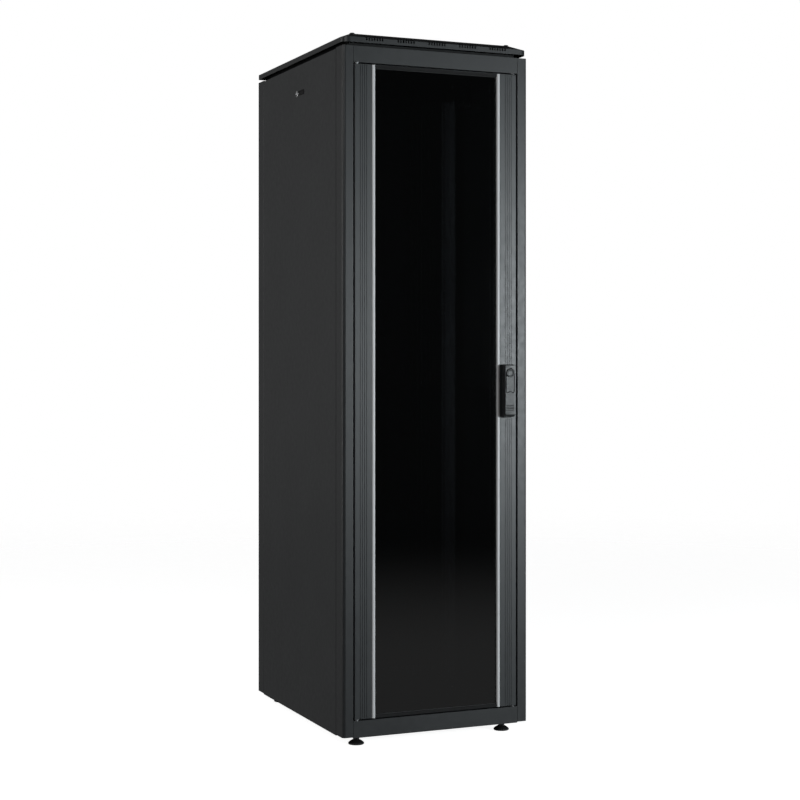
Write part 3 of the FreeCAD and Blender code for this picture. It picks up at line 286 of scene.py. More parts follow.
def tinted_glass(name):
    """Dark safety glass with the faintest unevenness in its shine."""
    material, tree, shader = new_material(name)
    vector = object_coordinates(tree)
    tint(tree, shader, noise(tree, vector, 4.0, 1.0), GLASS_DARK, GLASS_LIGHT)
    smears = between(tree, noise(tree, object_coordinates(tree, (1.0, 1.0, 0.35)), 5.0, 2.0), 0.015, 0.030)
    tree.links.new(smears, shader.inputs["Roughness"])
    shader.inputs["Alpha"].default_value = GLASS_ALPHA
    shader.inputs["IOR"].default_value = GLASS_IOR
    shader.inputs["Specular IOR Level"].default_value = 0.5
    return material


def make_materials():
    """One material per finish of the record."""
    return {
        "powder_coat_black": powder_coat(
            "powder_coat_black", (0.0155, 0.0172, 0.0186), (0.0190, 0.0212, 0.0226), 0.42),
        # Painted shade: the inner coat is the same black coat made about four times darker and less shiny, so
        # the inner beams and the recessed gaps that the lamps reach still look shaded
        "powder_coat_inner": powder_coat(
            "powder_coat_inner", (0.004, 0.0045, 0.005), (0.006, 0.0065, 0.007), 0.65, specular=0.25),
        "rack_rail_coat": powder_coat(
            "rack_rail_coat", (0.15, 0.155, 0.16), (0.19, 0.195, 0.20), 0.42),
        "door_profile_coat": powder_coat(
            "door_profile_coat", (0.0250, 0.0280, 0.0300), (0.0300, 0.0335, 0.0355), 0.40),
        "zinc_steel": brushed_metal(
            "zinc_steel", (0.46, 0.47, 0.48), (0.62, 0.63, 0.64), 0.34, (1, 1, 0.2)),
        "satin_aluminium": brushed_metal(
            "satin_aluminium", (0.61, 0.61, 0.615), (0.69, 0.69, 0.695), 0.55, (1, 1, 0.01), metallic=0.25),
        "chrome_lock": brushed_metal(
            "chrome_lock", (0.66, 0.67, 0.68), (0.74, 0.75, 0.76), 0.14, (1, 1, 1), 300.0),
        "tinted_glass": tinted_glass("tinted_glass"),
        "rubber_seal": moulded(
            "rubber_seal", (0.009, 0.009, 0.009), (0.013, 0.013, 0.013), 0.66),
        "black_plastic": moulded(
            "black_plastic", (0.007, 0.007, 0.0075), (0.010, 0.010, 0.0105), 0.62, specular=0.2),
        "handle_plastic": moulded(
            "handle_plastic", (0.018, 0.020, 0.021), (0.023, 0.025, 0.026), 0.44),
        "foot_plastic": moulded(
            "foot_plastic", (0.007, 0.007, 0.007), (0.010, 0.010, 0.010), 0.52),
        "bristle": moulded(
            "bristle", (0.014, 0.014, 0.014), (0.030, 0.030, 0.030), 0.60),
    }


materials = make_materials()


def paint_cad():
    """Give each CAD node the material of its slot in the record."""
    for part in frame["record"]["subparts"]:
        node = frame["nodes"][part["node"]]
        node.data.materials.clear()
        node.data.materials.append(materials[part["material_slot"]])


# ---------------------------------------------------------------- mesh helpers
def mm(*values):
    """A point given in millimetres."""
    return Vector(values) * MM


def basis(axis):
    """Two unit vectors across an axis, and the axis itself."""
    along = Vector(axis).normalized()
    helper = Vector((0, 0, 1)) if abs(along.z) < 0.9 else Vector((1, 0, 0))
    first = along.cross(helper).normalized()
    return first, along.cross(first), along


def connect(bm, rings):
    """Join rings of vertices with quads and cap the first and the last."""
    for lower, upper in zip(rings, rings[1:]):
        count = len(lower)
        for k in range(count):
            bm.faces.new((lower[k], lower[(k + 1) % count], upper[(k + 1) % count], upper[k]))
    bm.faces.new(rings[0])
    bm.faces.new(rings[-1])


def lathe(bm, centre, axis, profile, steps=48, radius_at=None):
    """A solid of revolution from (radius, height) pairs; radius_at may change a radius with the angle."""
    first, second, along = basis(axis)
    rings = []
    for index, (radius, height) in enumerate(profile):
        ring = []
        for step in range(steps):
            angle = TURN * step / steps
            r = radius_at(index, radius, angle) if radius_at else radius
            ring.append(bm.verts.new(centre + first * r * math.cos(angle) + second * r * math.sin(angle)
                                     + along * height))
        rings.append(ring)
    connect(bm, rings)


def prism(bm, points, offset):
    """A solid between a flat outline and the same outline moved by offset."""
    near = [bm.verts.new(p) for p in points]
    far = [bm.verts.new(p + offset) for p in points]
    connect(bm, [near, far])


def rounded_rectangle(a0, a1, b0, b1, radius, steps=6):
    """Points (a, b) round a rectangle with rounded corners."""
    corners = [(a1 - radius, b1 - radius, 0), (a0 + radius, b1 - radius, 1),
               (a0 + radius, b0 + radius, 2), (a1 - radius, b0 + radius, 3)]
    points = []
    for a, b, quarter in corners:
        for step in range(steps + 1):
            angle = TURN / 4 * (quarter + step / steps)
            points.append((a + radius * math.cos(angle), b + radius * math.sin(angle)))
    return points


def hexagon_radius(flats, angle):
    """Distance from the middle of a hexagon to its side at this angle; flats is half its width."""
    sector = TURN / 6
    return flats / math.cos((angle % sector) - sector / 2)


def box_mesh(bm, low, high):
    """A box between two corners."""
    outline = [Vector((low.x, low.y, low.z)), Vector((high.x, low.y, low.z)),
               Vector((high.x, high.y, low.z)), Vector((low.x, high.y, low.z))]
    prism(bm, outline, Vector((0, 0, high.z - low.z)))


def mesh_object(name, bm):
    """A new object from a bmesh, with its faces turned outwards."""
    bmesh.ops.recalc_face_normals(bm, faces=bm.faces[:])
    mesh = bpy.data.meshes.new(name)
    bm.to_mesh(mesh)
    bm.free()
    obj = bpy.data.objects.new(name, mesh)
    scene.collection.objects.link(obj)
    return obj


def apply_modifiers(obj):
    """Replace an object's mesh by its evaluated mesh."""
    depsgraph = bpy.context.evaluated_depsgraph_get()
    result = bpy.data.meshes.new_from_object(obj.evaluated_get(depsgraph))
    obj.modifiers.clear()
    old = obj.data
    obj.data = result
    bpy.data.meshes.remove(old)


def combine(obj, other, operation):
    """Boolean of two objects; the second one is used up."""
    modifier = obj.modifiers.new("combine", "BOOLEAN")
    modifier.operation = operation
    modifier.solver = "EXACT"
    modifier.object = other
    apply_modifiers(obj)
    bpy.data.objects.remove(other)


def soften(obj, width, segments=3, angle=35):
    """Round the sharp edges of an object."""
    modifier = obj.modifiers.new("soften", "BEVEL")
    modifier.width = width * MM
    modifier.segments = segments
    modifier.limit_method = "ANGLE"
    modifier.angle_limit = math.radians(angle)
    modifier.use_clamp_overlap = True
    apply_modifiers(obj)


def piece(obj, body, slot, replaced=(), smooth=35):
    """Give a finished object its material and its body, and hide the CAD nodes that it stands for."""
    obj.data.materials.clear()
    obj.data.materials.append(materials[slot])
    obj.data.shade_smooth()
    obj.data.set_sharp_from_angle(angle=math.radians(smooth))
    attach(obj, body)
    if replaced:
        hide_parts(*replaced)
    return obj


# ---------------------------------------------------------------- door handle
def front_prism(name, outline, near, far):
    """A solid along Y from an outline of (x, z) in metres between two Y values."""
    bm = bmesh.new()
    prism(bm, [Vector((x, near, z)) for x, z in outline], Vector((0, far - near, 0)))
    return mesh_object(name, bm)


def side_prism(name, outline, x0, x1):
    """A solid along X from an outline of (y, z) in metres between two X values."""
    bm = bmesh.new()
    prism(bm, [Vector((x0, y, z)) for y, z in outline], Vector((x1 - x0, 0, 0)))
    return mesh_object(name, bm)


def cylinder(name, centre, axis, radius, length):
    """A plain round cutter that starts at centre and runs along axis."""
    bm = bmesh.new()
    lathe(bm, Vector(centre), axis, [(radius, 0.0), (radius, length)])
    return mesh_object(name, bm)


def box_object(name, low, high):
    """A plain box cutter."""
    bm = bmesh.new()
    box_mesh(bm, Vector(low), Vector(high))
    return mesh_object(name, bm)


def ribbon(name, path, width, near, far):
    """A solid along Y whose front view is a line of (x, z) points with this width."""
    left = []
    right = []
    for index, (x, z) in enumerate(path):
        before = path[max(index - 1, 0)]
        after = path[min(index + 1, len(path) - 1)]
        direction = Vector((after[0] - before[0], after[1] - before[1])).normalized()
        across = Vector((-direction.y, direction.x)) * width / 2
        left.append((x + across.x, z + across.y))
        right.append((x - across.x, z - across.y))
    return front_prism(name, left + right[::-1], near, far)


def insert_groove_path(centre_x, cap_z, seam_z):
    """Line up the left side of the insert, round its cap and down its right side."""
    half = INSERT_HALF * MM
    path = [(centre_x - half, seam_z + half * 0.05)]
    steps = 32
    for step in range(steps + 1):
        angle = math.pi * (1 - step / steps)
        path.append((centre_x + half * math.cos(angle), cap_z + half * math.sin(angle)))
    path.append((centre_x + half, seam_z + half * 0.05))
    return path


def seam_path(centre_x, seam_z):
    """Wavy line across the lower end of the insert."""
    half = INSERT_HALF * MM
    steps = 40
    path = []
    for step in range(steps + 1):
        x = -half + 2 * half * step / steps
        wave = SEAM_WAVE * MM * math.cos(TURN * x / (SEAM_WAVELENGTH * MM))
        path.append((centre_x + x, seam_z + wave))
    return path


def lever_side_outline(front, back, pivot_z, top):
    """Side view of the lever: round knuckle below, straight grip, eased top."""
    radius = (back - front) / 2
    middle = (back + front) / 2
    outline = []
    steps = 24
    for step in range(steps + 1):
        angle = math.pi * (1 + step / steps)
        outline.append((middle + radius * math.cos(angle), pivot_z + radius * math.sin(angle)))
    outline.append((back, top))
    ease = GRIP_TOP_EASE * MM
    outline.append((front + ease, top))
    for step in range(1, 7):
        angle = TURN / 4 * step / 6
        outline.append((front + ease - ease * math.sin(angle), top - ease + ease * math.cos(angle)))
    return outline


def make_handle_grip():
    """Lever: grip with a keyhole-shaped insert, a wavy seam and grooves holding dark strips, painted shade
    that keeps the grooves dark.
    """
    low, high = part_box("handle_lever")
    cap_low, cap_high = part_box("dust_cover")
    pin_low, pin_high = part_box("handle_tilt_pin")
    centre_x = (low.x + high.x) / 2
    pivot_z = (pin_low.z + pin_high.z) / 2
    cap_z = (cap_low.z + cap_high.z) / 2
    front = low.y
    back = high.y
    grip = side_prism("handle_grip", lever_side_outline(front, back, pivot_z, high.z), low.x, high.x)
    outline = rounded_rectangle(low.x, high.x, low.z - 2 * CUT_MARGIN, high.z, GRIP_CORNER * MM)
    combine(grip, front_prism("trim", outline, front - CUT_MARGIN, back + CUT_MARGIN), "INTERSECT")
    soften(grip, GRIP_ROUNDING, 4, 50)
    before = front - CUT_MARGIN
    depth = front + GROOVE_DEPTH * MM
    width = GROOVE_WIDTH * MM
    seam_z = high.z - SEAM_DROP * MM
    cuts = [ribbon("cut", insert_groove_path(centre_x, cap_z, seam_z), width, before, depth),
            ribbon("cut", seam_path(centre_x, seam_z), width, before, depth)]
    strips = []
    half = INSERT_HALF * MM
    for rib in range(RIB_COUNT):
        z = high.z - (RIB_TOP_DROP + rib * RIB_PITCH) * MM
        z0 = z - RIB_HEIGHT * MM / 2
        z1 = z + RIB_HEIGHT * MM / 2
        cuts.append(box_object("cut", (centre_x - half, before, z0), (centre_x + half, depth, z1)))
        # Painted shade: a dark strip 1 mm back in each groove keeps it dark where the lamps would light its
        # floor
        strip_front = front + RIB_STRIP_DEPTH * MM
        strips.append(box_object("groove_shade_strip_" + str(rib + 1), (centre_x - half, strip_front, z0),
                                 (centre_x + half, depth, z1)))
    cuts.append(cylinder("cut", (centre_x, before, cap_z), (0, 1, 0), KEY_BORE_RADIUS * MM,
                         CUT_MARGIN + KEY_BORE_DEPTH * MM))
    fork_half = FORK_HALF * MM
    clearance = FORK_CLEARANCE * MM
    cuts.append(box_object("cut", (centre_x - fork_half, front + FORK_SET_BACK * MM, low.z - clearance),
                           (centre_x + fork_half, back + clearance, pivot_z + FORK_RISE * MM)))
    for cutter in cuts:
        combine(grip, cutter, "DIFFERENCE")
    piece(grip, "handle_lever", "handle_plastic", ["handle_lever"], 30)
    for strip in strips:
        piece(strip, "handle_lever", "rubber_seal")


def make_handle_housing():
    """Base of the handle: a shallow dish with a rounded rim, bored for the rotor."""
    low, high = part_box("handle_housing")
    pin_low, pin_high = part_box("handle_tilt_pin")
    centre_x = (low.x + high.x) / 2
    pivot_z = (pin_low.z + pin_high.z) / 2
    outline = rounded_rectangle(low.x, high.x, low.z, high.z, GRIP_CORNER * MM)
    base = front_prism("handle_base", outline, low.y, high.y)
    soften(base, HOUSING_ROUNDING, 3, 50)
    before = low.y - CUT_MARGIN
    rim = HOUSING_RIM * MM
    dish = rounded_rectangle(low.x + rim, high.x - rim, pivot_z + DISH_LIFT * MM, high.z - rim,
                             DISH_CORNER * MM)
    combine(base, front_prism("cut", dish, before, low.y + DISH_DEPTH * MM), "DIFFERENCE")
    combine(base, cylinder("cut", (centre_x, before, pivot_z), (0, 1, 0), HUB_CLEARANCE * MM, HUB_CUT_LENGTH),
            "DIFFERENCE")
    piece(base, "front_door", "handle_plastic", ["handle_housing"], 30)


def make_dust_cover():
    """Round cap over the key cylinder, with a rounded rim, a shallow dish and its pivot pin."""
    low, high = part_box("dust_cover")
    centre = Vector(((low.x + high.x) / 2, 0.0, (low.z + high.z) / 2))
    radius = (high.x - low.x) / 2
    front = low.y
    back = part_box("handle_lever")[0].y - COVER_GAP * MM
    thick = back - front
    bm = bmesh.new()
    profile = [(radius * 0.98, thick), (radius, thick * 0.8), (radius, thick * 0.35),
               (radius - 0.4 * MM, thick * 0.12), (radius - 1.1 * MM, 0.0), (radius - 2.2 * MM, 0.0),
               (radius - 2.8 * MM, 0.35 * MM), (radius * 0.35, 0.5 * MM)]
    lathe(bm, Vector((centre.x, front, centre.z)), (0, 1, 0), profile, 64)
    pin = Vector((centre.x, back - COVER_PIN_OVERLAP * MM, centre.z + COVER_PIN_LIFT * MM))
    pin_radius = COVER_PIN_RADIUS * MM
    lathe(bm, pin, (0, 1, 0), [(pin_radius, 0.0), (pin_radius, high.y - pin.y)], 20)
    piece(mesh_object("key_cap", bm), "dust_cover", "handle_plastic", ["dust_cover"], 40)


def make_key_cylinder():
    """Key cylinder: a bright plug with a stepped rim and a keyway."""
    low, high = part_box("lock_cylinder")
    centre = Vector(((low.x + high.x) / 2, low.y, (low.z + high.z) / 2))
    radius = (high.x - low.x) / 2
    length = high.y - low.y
    bm = bmesh.new()
    profile = [(radius - 2.6 * MM, 0.6 * MM), (radius - 2.4 * MM, 0.2 * MM), (radius - 1.9 * MM, 0.0),
               (radius - 0.6 * MM, 0.0), (radius, 0.6 * MM), (radius, length)]
    lathe(bm, centre, (0, 1, 0), profile, 48)
    plug = mesh_object("key_plug", bm)
    slot = box_object("cut", centre + mm(-KEY_SLOT_HALF_WIDTH, -1, -KEY_SLOT_HALF_HEIGHT),
                      centre + mm(KEY_SLOT_HALF_WIDTH, KEY_SLOT_DEPTH, KEY_SLOT_HALF_HEIGHT))
    combine(plug, slot, "DIFFERENCE")
    piece(plug, "lock_cylinder", "chrome_lock", ["lock_cylinder"], 30)


# ---------------------------------------------------------------- feet
def threaded_stud(bm, centre, radius, z0, z1):
    """A threaded rod along Z with a real helical thread."""
    around = 20
    turns = int((z1 - z0) / (THREAD_PITCH * MM))
    rows = [(0.0, 1.0), (0.35, 1.0), (0.5, 0.0), (0.85, 0.0)]
    columns = []
    for step in range(turns * around + 1):
        angle = TURN * step / around
        lift = THREAD_PITCH * MM * step / around
        columns.append([
            bm.verts.new(centre + Vector((math.cos(angle), math.sin(angle), 0.0))
                         * (radius - THREAD_DEPTH * MM * (1 - crest))
                         + Vector((0, 0, min(z0 + lift + phase * THREAD_PITCH * MM, z1))))
            for phase, crest in rows])
    last = len(columns) - 1
    for step in range(last):
        here, there = columns[step], columns[step + 1]
        for k in range(len(rows) - 1):
            bm.faces.new((here[k], there[k], there[k + 1], here[k + 1]))
        if step + around < last:
            above, beyond = columns[step + around], columns[step + around + 1]
            bm.faces.new((here[-1], there[-1], beyond[0], above[0]))


def stud_object(name, centre, radius, z0, z1):
    """Threaded stud with a core that closes both ends."""
    bm = bmesh.new()
    threaded_stud(bm, centre, radius, z0, z1 - THREAD_PITCH * MM)
    core = radius - THREAD_DEPTH * MM * 0.9
    point = STUD_POINT * MM
    lathe(bm, centre + Vector((0, 0, z0)), (0, 0, 1),
          [(core, 0.0), (core, z1 - z0 - point), (core - point, z1 - z0)], 24)
    return mesh_object(name, bm)


def foot_pad_profile():
    """(radius, height) of the pad in millimetres, from the sole up to the hexagon."""
    return [(20.0, 0.0), (22.1, 0.3), (23.2, 1.3), (23.5, 2.6), (23.4, 4.0), (22.6, 5.2), (20.7, 7.0),
            (18.0, 9.0), (15.0, 11.0), (12.4, 12.4), (11.0, 13.0)]


def make_foot(end, side):
    """Levelling foot: scalloped domed pad with a hexagon, on a threaded stud."""
    name = "foot_" + end + "_" + side
    low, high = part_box(name)
    centre = Vector(((low.x + high.x) / 2, (low.y + high.y) / 2, 0.0))
    profile = [(r * MM, z * MM) for r, z in foot_pad_profile()]
    rim_rows = range(1, 7)

    def scalloped(index, radius, angle):
        if index not in rim_rows:
            return radius
        return radius - SCALLOP_DEPTH * MM * max(0.0, math.cos(SCALLOPS * angle)) ** 3

    bm = bmesh.new()
    lathe(bm, centre, (0, 0, 1), profile, SCALLOPS * 8, scalloped)

    def hexagonal(index, radius, angle):
        return hexagon_radius(radius, angle)

    flats = HEXAGON_FLATS * MM
    hexagon = [(flats, HEXAGON_BOTTOM * MM), (flats, HEXAGON_SHOULDER * MM),
               (flats - HEXAGON_EDGE * MM, HEXAGON_TOP * MM)]
    lathe(bm, centre, (0, 0, 1), hexagon, 36, hexagonal)
    piece(mesh_object(name + "_pad", bm), name, "foot_plastic", [name], 40)
    stud = stud_object(name + "_stud", centre, STUD_RADIUS * MM, STUD_BOTTOM * MM, high.z)
    piece(stud, name, "zinc_steel", (), 50)


# ---------------------------------------------------------------- locks of the side panels and the rear door
def lock_profile(radius, proud, inner, barrel_radius, barrel_length):
    """(radius, height) pairs from the sunken plug out over the rounded bezel and back along the barrel."""
    return [(inner * 0.2, proud * 0.4), (inner - 0.2 * MM, proud * 0.45), (inner, proud * 0.75),
            (inner + 0.5 * MM, proud), (radius - 0.8 * MM, proud), (radius - 0.25 * MM, proud * 0.8),
            (radius, proud * 0.45), (radius, 0.0), (barrel_radius, 0.0), (barrel_radius, -barrel_length)]


def lock_object(name, face, axis, radius, proud, inner, barrel_radius, barrel_length):
    """One closed lock with its key slot; face is the bezel's back plane and axis points outwards."""
    bm = bmesh.new()
    outward = Vector(axis)
    lathe(bm, face, outward, lock_profile(radius, proud, inner, barrel_radius, barrel_length), 56)
    lock = mesh_object(name, bm)
    across = outward.cross(Vector((0, 0, 1)))
    half = (across * KEYWAY_WIDTH / 2 * MM + outward * KEYWAY_DEPTH * MM
            + Vector((0, 0, KEYWAY_HEIGHT / 2 * MM)))
    reach = Vector((abs(half.x), abs(half.y), abs(half.z)))
    combine(lock, box_object("cut", face - reach, face + reach), "DIFFERENCE")
    return lock


def make_side_lock(side, outward):
    """Key lock of a side panel with its latch cam and a dark grip plate beside it."""
    node = "side_lock_" + side
    low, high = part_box(node)
    panel_low, panel_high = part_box("side_panel_" + side)
    y = low.y + SIDE_BEZEL_RADIUS * MM
    z = (low.z + high.z) / 2
    panel_face = panel_high.x if outward > 0 else panel_low.x
    tip = high.x if outward > 0 else low.x
    proud = abs(tip - panel_face) - SIDE_BEZEL_GAP * MM
    face = Vector((panel_face + outward * SIDE_BEZEL_GAP * MM, y, z))
    length = (high.x - low.x) - proud
    lock = lock_object(node + "_bezel", face, (outward, 0, 0), SIDE_BEZEL_RADIUS * MM, proud,
                       SIDE_PLUG_RADIUS * MM, SIDE_BARREL_RADIUS * MM, length)
    piece(lock, node, "chrome_lock", [node], 30)
    inner_end = low.x if outward > 0 else high.x
    cam_end = inner_end + outward * SIDE_CAM_THICKNESS * MM
    cam_half = SIDE_CAM_HALF * MM
    cam = box_object(node + "_cam", (min(inner_end, cam_end), y, z - cam_half),
                     (max(inner_end, cam_end), high.y, z + cam_half))
    soften(cam, CAM_ROUNDING, 2)
    piece(cam, node, "zinc_steel")
    make_grip_plate(side, outward, panel_face, y, z)


def make_grip_plate(side, outward, face_x, y, z):
    """Low dark grip plate with round ends that runs from the lock towards the front."""
    start = y - PLATE_START * MM
    end = y - PLATE_END * MM
    half = PLATE_HALF * MM
    rim = PLATE_RIM * MM
    edge = PLATE_EDGE * MM
    thick = PLATE_THICKNESS * MM
    outline = rounded_rectangle(start, end, z - half, z + half, half * 0.98, 10)
    inner = rounded_rectangle(start + rim, end - rim, z - half + rim, z + half - rim, (half - rim) * 0.96, 10)
    rings = []
    bm = bmesh.new()
    levels = [(outline, 0.0), (outline, thick * 0.6), (inset(outline, edge, start, end, z, half), thick),
              (inner, thick), (inset(inner, edge, start + rim, end - rim, z, half - rim), thick * 0.35)]
    for points, height in levels:
        rings.append([bm.verts.new((face_x + outward * height, py, pz)) for py, pz in points])
    connect(bm, rings)
    piece(mesh_object("side_grip_plate_" + side, bm), "side_panel_" + side, "black_plastic", (), 30)


def inset(points, amount, start, end, z, half):
    """The same outline drawn in towards its middle by this amount."""
    middle = (start + end) / 2
    length = (end - start) / 2
    return [(middle + (py - middle) * (length - amount) / length, z + (pz - z) * (half - amount) / half)
            for py, pz in points]


def make_rear_lock():
    """Key lock of the rear door with its latch cam."""
    low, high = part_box("rear_lock")
    door_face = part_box("rear_door_panel")[1].y
    radius = REAR_BEZEL_RADIUS * MM
    z = (low.z + high.z) / 2
    x = high.x - radius
    proud = high.y - door_face - REAR_BEZEL_GAP * MM
    face = Vector((x, door_face + REAR_BEZEL_GAP * MM, z))
    lock = lock_object("rear_lock_bezel", face, (0, 1, 0), radius, proud,
                       REAR_PLUG_RADIUS * MM, REAR_BARREL_RADIUS * MM, face.y - low.y)
    piece(lock, "rear_lock", "chrome_lock", ["rear_lock"], 30)
    cam_half = REAR_CAM_HALF * MM
    cam = box_object("rear_lock_cam", (low.x, low.y + REAR_CAM_START * MM, z - cam_half),
                     (x, low.y + REAR_CAM_END * MM, z + cam_half))
    soften(cam, CAM_ROUNDING, 2)
    piece(cam, "rear_lock", "zinc_steel")


# ---------------------------------------------------------------- roof screws, brush and gasket
def make_roof_screws():
    """Domed screws with a hexagon socket."""
    low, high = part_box("roof_screws")
    lid_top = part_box("roof_lid")[1].z
    radius = SCREW_HEAD_RADIUS * MM
    shank = SCREW_SHANK_RADIUS * MM
    head = high.z - lid_top
    profile = [(radius, 0.0), (radius, head * 0.2), (radius * 0.93, head * 0.55),
               (radius * 0.78, head * 0.85), (radius * 0.55, head),
               (SOCKET_RADIUS * MM, head), (SOCKET_FLOOR_RADIUS * MM, head - SOCKET_DEPTH * MM)]
    bm = bmesh.new()

    def socketed(index, r, angle):
        return r if index < SOCKET_ROW else hexagon_radius(r, angle)

    for x in (low.x + radius, high.x - radius):
        for y in (low.y + radius, high.y - radius):
            lathe(bm, Vector((x, y, lid_top)), (0, 0, 1), profile, 36, socketed)
            lathe(bm, Vector((x, y, low.z)), (0, 0, 1), [(shank, 0.0), (shank, lid_top - low.z)], 20)
    piece(mesh_object("roof_cap_screws", bm), "frame", "powder_coat_black", ["roof_screws"], 30)


def make_brush():
    """Cable brush: a clamping frame in black plastic and two rows of separate bristle tufts."""
    low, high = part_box("cable_brush")
    rng = random.Random(TUFT_SEED)
    rim = BRUSH_RIM * MM
    left, right, near, far = low.x, high.x, low.y, high.y
    frame_bm = bmesh.new()
    bars = [((left, near), (right, near + rim)), ((left, far - rim), (right, far)),
            ((left, near + rim), (left + rim, far - rim)), ((right - rim, near + rim), (right, far - rim))]
    for (x0, y0), (x1, y1) in bars:
        box_mesh(frame_bm, Vector((x0, y0, low.z)), Vector((x1, y1, high.z)))
    brush_frame = mesh_object("brush_frame", frame_bm)
    soften(brush_frame, BRUSH_ROUNDING, 2)
    piece(brush_frame, "frame", "black_plastic", ["cable_brush"], 30)
    tuft_bm = bmesh.new()
    middle_y = (near + far) / 2
    pitch = TUFT_PITCH * MM
    count = int((right - left - 2 * rim) / pitch)
    for way in (-1, 1):
        root_y = middle_y + way * (far - near - 2 * rim) / 2
        for k in range(count):
            x = left + rim + pitch * (k + 0.5)
            lean = rng.uniform(-1.2, 1.2) * MM
            level = low.z + rng.uniform(1.4, 3.4) * MM
            tip_y = middle_y + way * rng.uniform(0.2, 2.0) * MM
            tuft(tuft_bm, Vector((x, root_y, level)), Vector((x + lean, tip_y, level - 0.2 * MM)))
    piece(mesh_object("brush_bristles", tuft_bm), "frame", "bristle", (), 30)


def tuft(bm, root, tip):
    """One flat tapering tuft of bristle."""
    rings = []
    for point, half in ((root, 0.75 * MM), (root.lerp(tip, 0.6), 0.6 * MM), (tip, 0.25 * MM)):
        rings.append([bm.verts.new(point + Vector((half * sx, 0, 0.45 * MM * sz)))
                      for sx, sz in ((-1, -1), (1, -1), (1, 1), (-1, 1))])
    connect(bm, rings)


def make_gasket():
    """Rubber bead round the glass, against the strips and the bands."""
    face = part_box("door_glass")[0].y
    x = -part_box("door_strip_left")[1].x
    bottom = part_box("door_band_bottom")[1].z
    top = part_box("door_band_top")[0].z
    bead = GASKET_BEAD * MM
    bm = bmesh.new()
    quarter = [(0.0, 0.0), (bead, 0.0), (bead * 0.85, -bead * 0.55), (bead * 0.5, -bead * 0.9), (0.0, -bead)]
    for side in (-1, 1):
        points = [Vector((side * (x - across), face + out, bottom)) for across, out in quarter]
        prism(bm, points, Vector((0, 0, top - bottom)))
    for z, up in ((bottom, 1), (top, -1)):
        points = [Vector((-x + bead, face + out, z + up * across)) for across, out in quarter]
        prism(bm, points, Vector((2 * (x - bead), 0, 0)))
    piece(mesh_object("glass_gasket", bm), "front_door", "rubber_seal", (), 60)


# ---------------------------------------------------------------- studio
def make_camera():
    """Camera to the left of the cabinet and held level, so that upright edges stay parallel."""
    data = bpy.data.cameras.new("camera")
    data.lens = CAMERA_LENS
    data.sensor_width = CAMERA_SENSOR
    data.shift_y = CAMERA_SHIFT
    data.clip_end = CAMERA_CLIP
    camera = bpy.data.objects.new("camera", data)
    camera.location = CAMERA_PLACE
    camera.rotation_euler = (math.radians(90), 0.0, -math.radians(CAMERA_YAW))
    scene.collection.objects.link(camera)
    scene.camera = camera


def soft_light(name, place, target, width, height, power, colour=(1.0, 1.0, 1.0)):
    """A rectangular soft box that faces a target."""
    data = bpy.data.lights.new(name, "AREA")
    data.shape = "RECTANGLE"
    data.size = width
    data.size_y = height
    data.energy = power
    data.color = colour
    light = bpy.data.objects.new(name, data)
    light.location = place
    direction = Vector(target) - Vector(place)
    light.rotation_euler = direction.to_track_quat("-Z", "Y").to_euler()
    light.visible_camera = False
    scene.collection.objects.link(light)


def make_lights():
    """Soft boxes: three at the front right, one high at the front left, one left, a faint one inside."""
    soft_light("right_box", (3.3, -4.2, 1.3), (0.1, -0.37, 1.2), 0.7, 0.6, 58.0, COOL_LIGHT)
    soft_light("right_near_box", (2.7, -4.5, 1.25), (0.1, -0.37, 1.2), 0.6, 0.6, 81.0, COOL_LIGHT)
    soft_light("right_tall_box", (3.0, -4.3, 1.1), (0.1, -0.37, 1.1), 0.5, 1.2, 13.0, COOL_LIGHT)
    soft_light("front_left_box", (-3.6, -3.6, 3.3), (0.0, -0.3, 1.4), 1.6, 1.6, 52.0)
    soft_light("rail_box", (-0.17, -0.24, 1.35), (0.24, 0.09, 1.35), 0.1, 1.3, 3.0, RAIL_LIGHT)
    soft_light("left_box", (-4.6, 1.6, 1.6), (-0.3, 0.1, 1.1), 2.5, 3.0, 55.0)


def smooth_step(tree, value, start, end, low, high):
    """A level that runs smoothly from low to high while a value runs from start to end."""
    level = tree.nodes.new("ShaderNodeMapRange")
    level.interpolation_type = "SMOOTHSTEP"
    level.inputs["From Min"].default_value = start
    level.inputs["From Max"].default_value = end
    level.inputs["To Min"].default_value = low
    level.inputs["To Max"].default_value = high
    tree.links.new(value, level.inputs["Value"])
    return level.outputs["Result"]


def make_world():
    """White seen by the camera; everything else meets a dark room with a pale low glow behind."""
    world = bpy.data.worlds.new("studio")
    scene.world = world
    world.use_nodes = True
    tree = world.node_tree
    tree.nodes.clear()
    output = tree.nodes.new("ShaderNodeOutputWorld")
    source = tree.nodes.new("ShaderNodeTexCoord")
    toward = tree.nodes.new("ShaderNodeVectorMath")
    toward.operation = "DOT_PRODUCT"
    toward.inputs[1].default_value = Vector(ROOM_GLOW_WAY).normalized()
    tree.links.new(source.outputs["Generated"], toward.inputs[0])
    glow = smooth_step(tree, toward.outputs["Value"], ROOM_GLOW_START, ROOM_GLOW_FULL, ROOM_DARK, ROOM_GLOW)
    room = tree.nodes.new("ShaderNodeBackground")
    room.inputs["Color"].default_value = (1.0, 1.0, 1.0, 1.0)
    tree.links.new(glow, room.inputs["Strength"])
    sweep = tree.nodes.new("ShaderNodeBackground")
    sweep.inputs["Color"].default_value = (1.0, 1.0, 1.0, 1.0)
    sweep.inputs["Strength"].default_value = 1.0
    path = tree.nodes.new("ShaderNodeLightPath")
    mix = tree.nodes.new("ShaderNodeMixShader")
    tree.links.new(path.outputs["Is Camera Ray"], mix.inputs["Fac"])
    tree.links.new(room.outputs["Background"], mix.inputs[1])
    tree.links.new(sweep.outputs["Background"], mix.inputs[2])
    tree.links.new(mix.outputs["Shader"], output.inputs["Surface"])


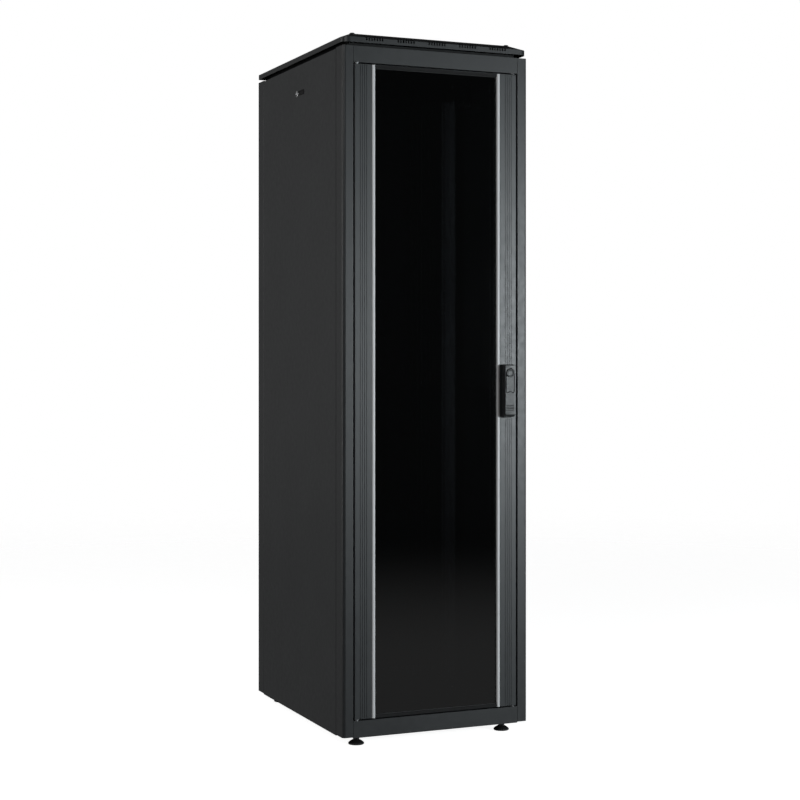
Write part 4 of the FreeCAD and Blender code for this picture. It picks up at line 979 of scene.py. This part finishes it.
def make_floor():
    """Pale floor that fades into the white surroundings; the cabinet meets only a faint pool of light."""
    bm = bmesh.new()
    rim = []
    for step in range(FLOOR_STEPS):
        angle = TURN * step / FLOOR_STEPS
        rim.append(bm.verts.new((FLOOR_RADIUS * math.cos(angle), FLOOR_RADIUS * math.sin(angle), 0.0)))
    bm.faces.new(rim)
    floor = mesh_object("floor", bm)
    material = bpy.data.materials.new("floor")
    material.use_nodes = True
    tree = material.node_tree
    tree.nodes.clear()
    output = tree.nodes.new("ShaderNodeOutputMaterial")
    path = tree.nodes.new("ShaderNodeLightPath")
    seen = tree.nodes.new("ShaderNodeMixShader")
    tree.links.new(path.outputs["Is Camera Ray"], seen.inputs["Fac"])
    source = tree.nodes.new("ShaderNodeTexCoord")
    length = tree.nodes.new("ShaderNodeVectorMath")
    length.operation = "LENGTH"
    tree.links.new(source.outputs["Object"], length.inputs[0])
    pool = tree.nodes.new("ShaderNodeEmission")
    pool_level = smooth_step(tree, length.outputs["Value"], POOL_RADIUS, POOL_FADE_RADIUS, POOL_LEVEL, 0.0)
    tree.links.new(pool_level, pool.inputs["Strength"])
    tree.links.new(pool.outputs["Emission"], seen.inputs[1])
    bright = tree.nodes.new("ShaderNodeAddShader")
    glow = tree.nodes.new("ShaderNodeEmission")
    glow.inputs["Strength"].default_value = FLOOR_GLOW
    tree.links.new(matt(tree, FLOOR_WHITE), bright.inputs[0])
    tree.links.new(glow.outputs["Emission"], bright.inputs[1])
    tree.links.new(bright.outputs["Shader"], seen.inputs[2])
    clear = tree.nodes.new("ShaderNodeBsdfTransparent")
    fade = smooth_step(tree, length.outputs["Value"], FLOOR_SOLID_RADIUS, FLOOR_FADE_RADIUS, 0.0, 1.0)
    mix = tree.nodes.new("ShaderNodeMixShader")
    tree.links.new(fade, mix.inputs["Fac"])
    tree.links.new(seen.outputs["Shader"], mix.inputs[1])
    tree.links.new(clear.outputs["BSDF"], mix.inputs[2])
    tree.links.new(mix.outputs["Shader"], output.inputs["Surface"])
    floor.data.materials.append(material)


def matt(tree, level):
    """A plain diffuse grey."""
    shader = tree.nodes.new("ShaderNodeBsdfDiffuse")
    shader.inputs["Color"].default_value = (level, level, level, 1.0)
    return shader.outputs["BSDF"]


# ---------------------------------------------------------------- the whole scene
paint_cad()
make_camera()
make_world()
make_lights()
make_floor()
make_handle_grip()
make_handle_housing()
make_dust_cover()
make_key_cylinder()
for end in ("front", "rear"):
    for side in ("left", "right"):
        make_foot(end, side)
make_side_lock("left", -1)
make_side_lock("right", 1)
make_rear_lock()
make_roof_screws()
make_brush()
make_gasket()
scene.view_settings.view_transform = "Standard"
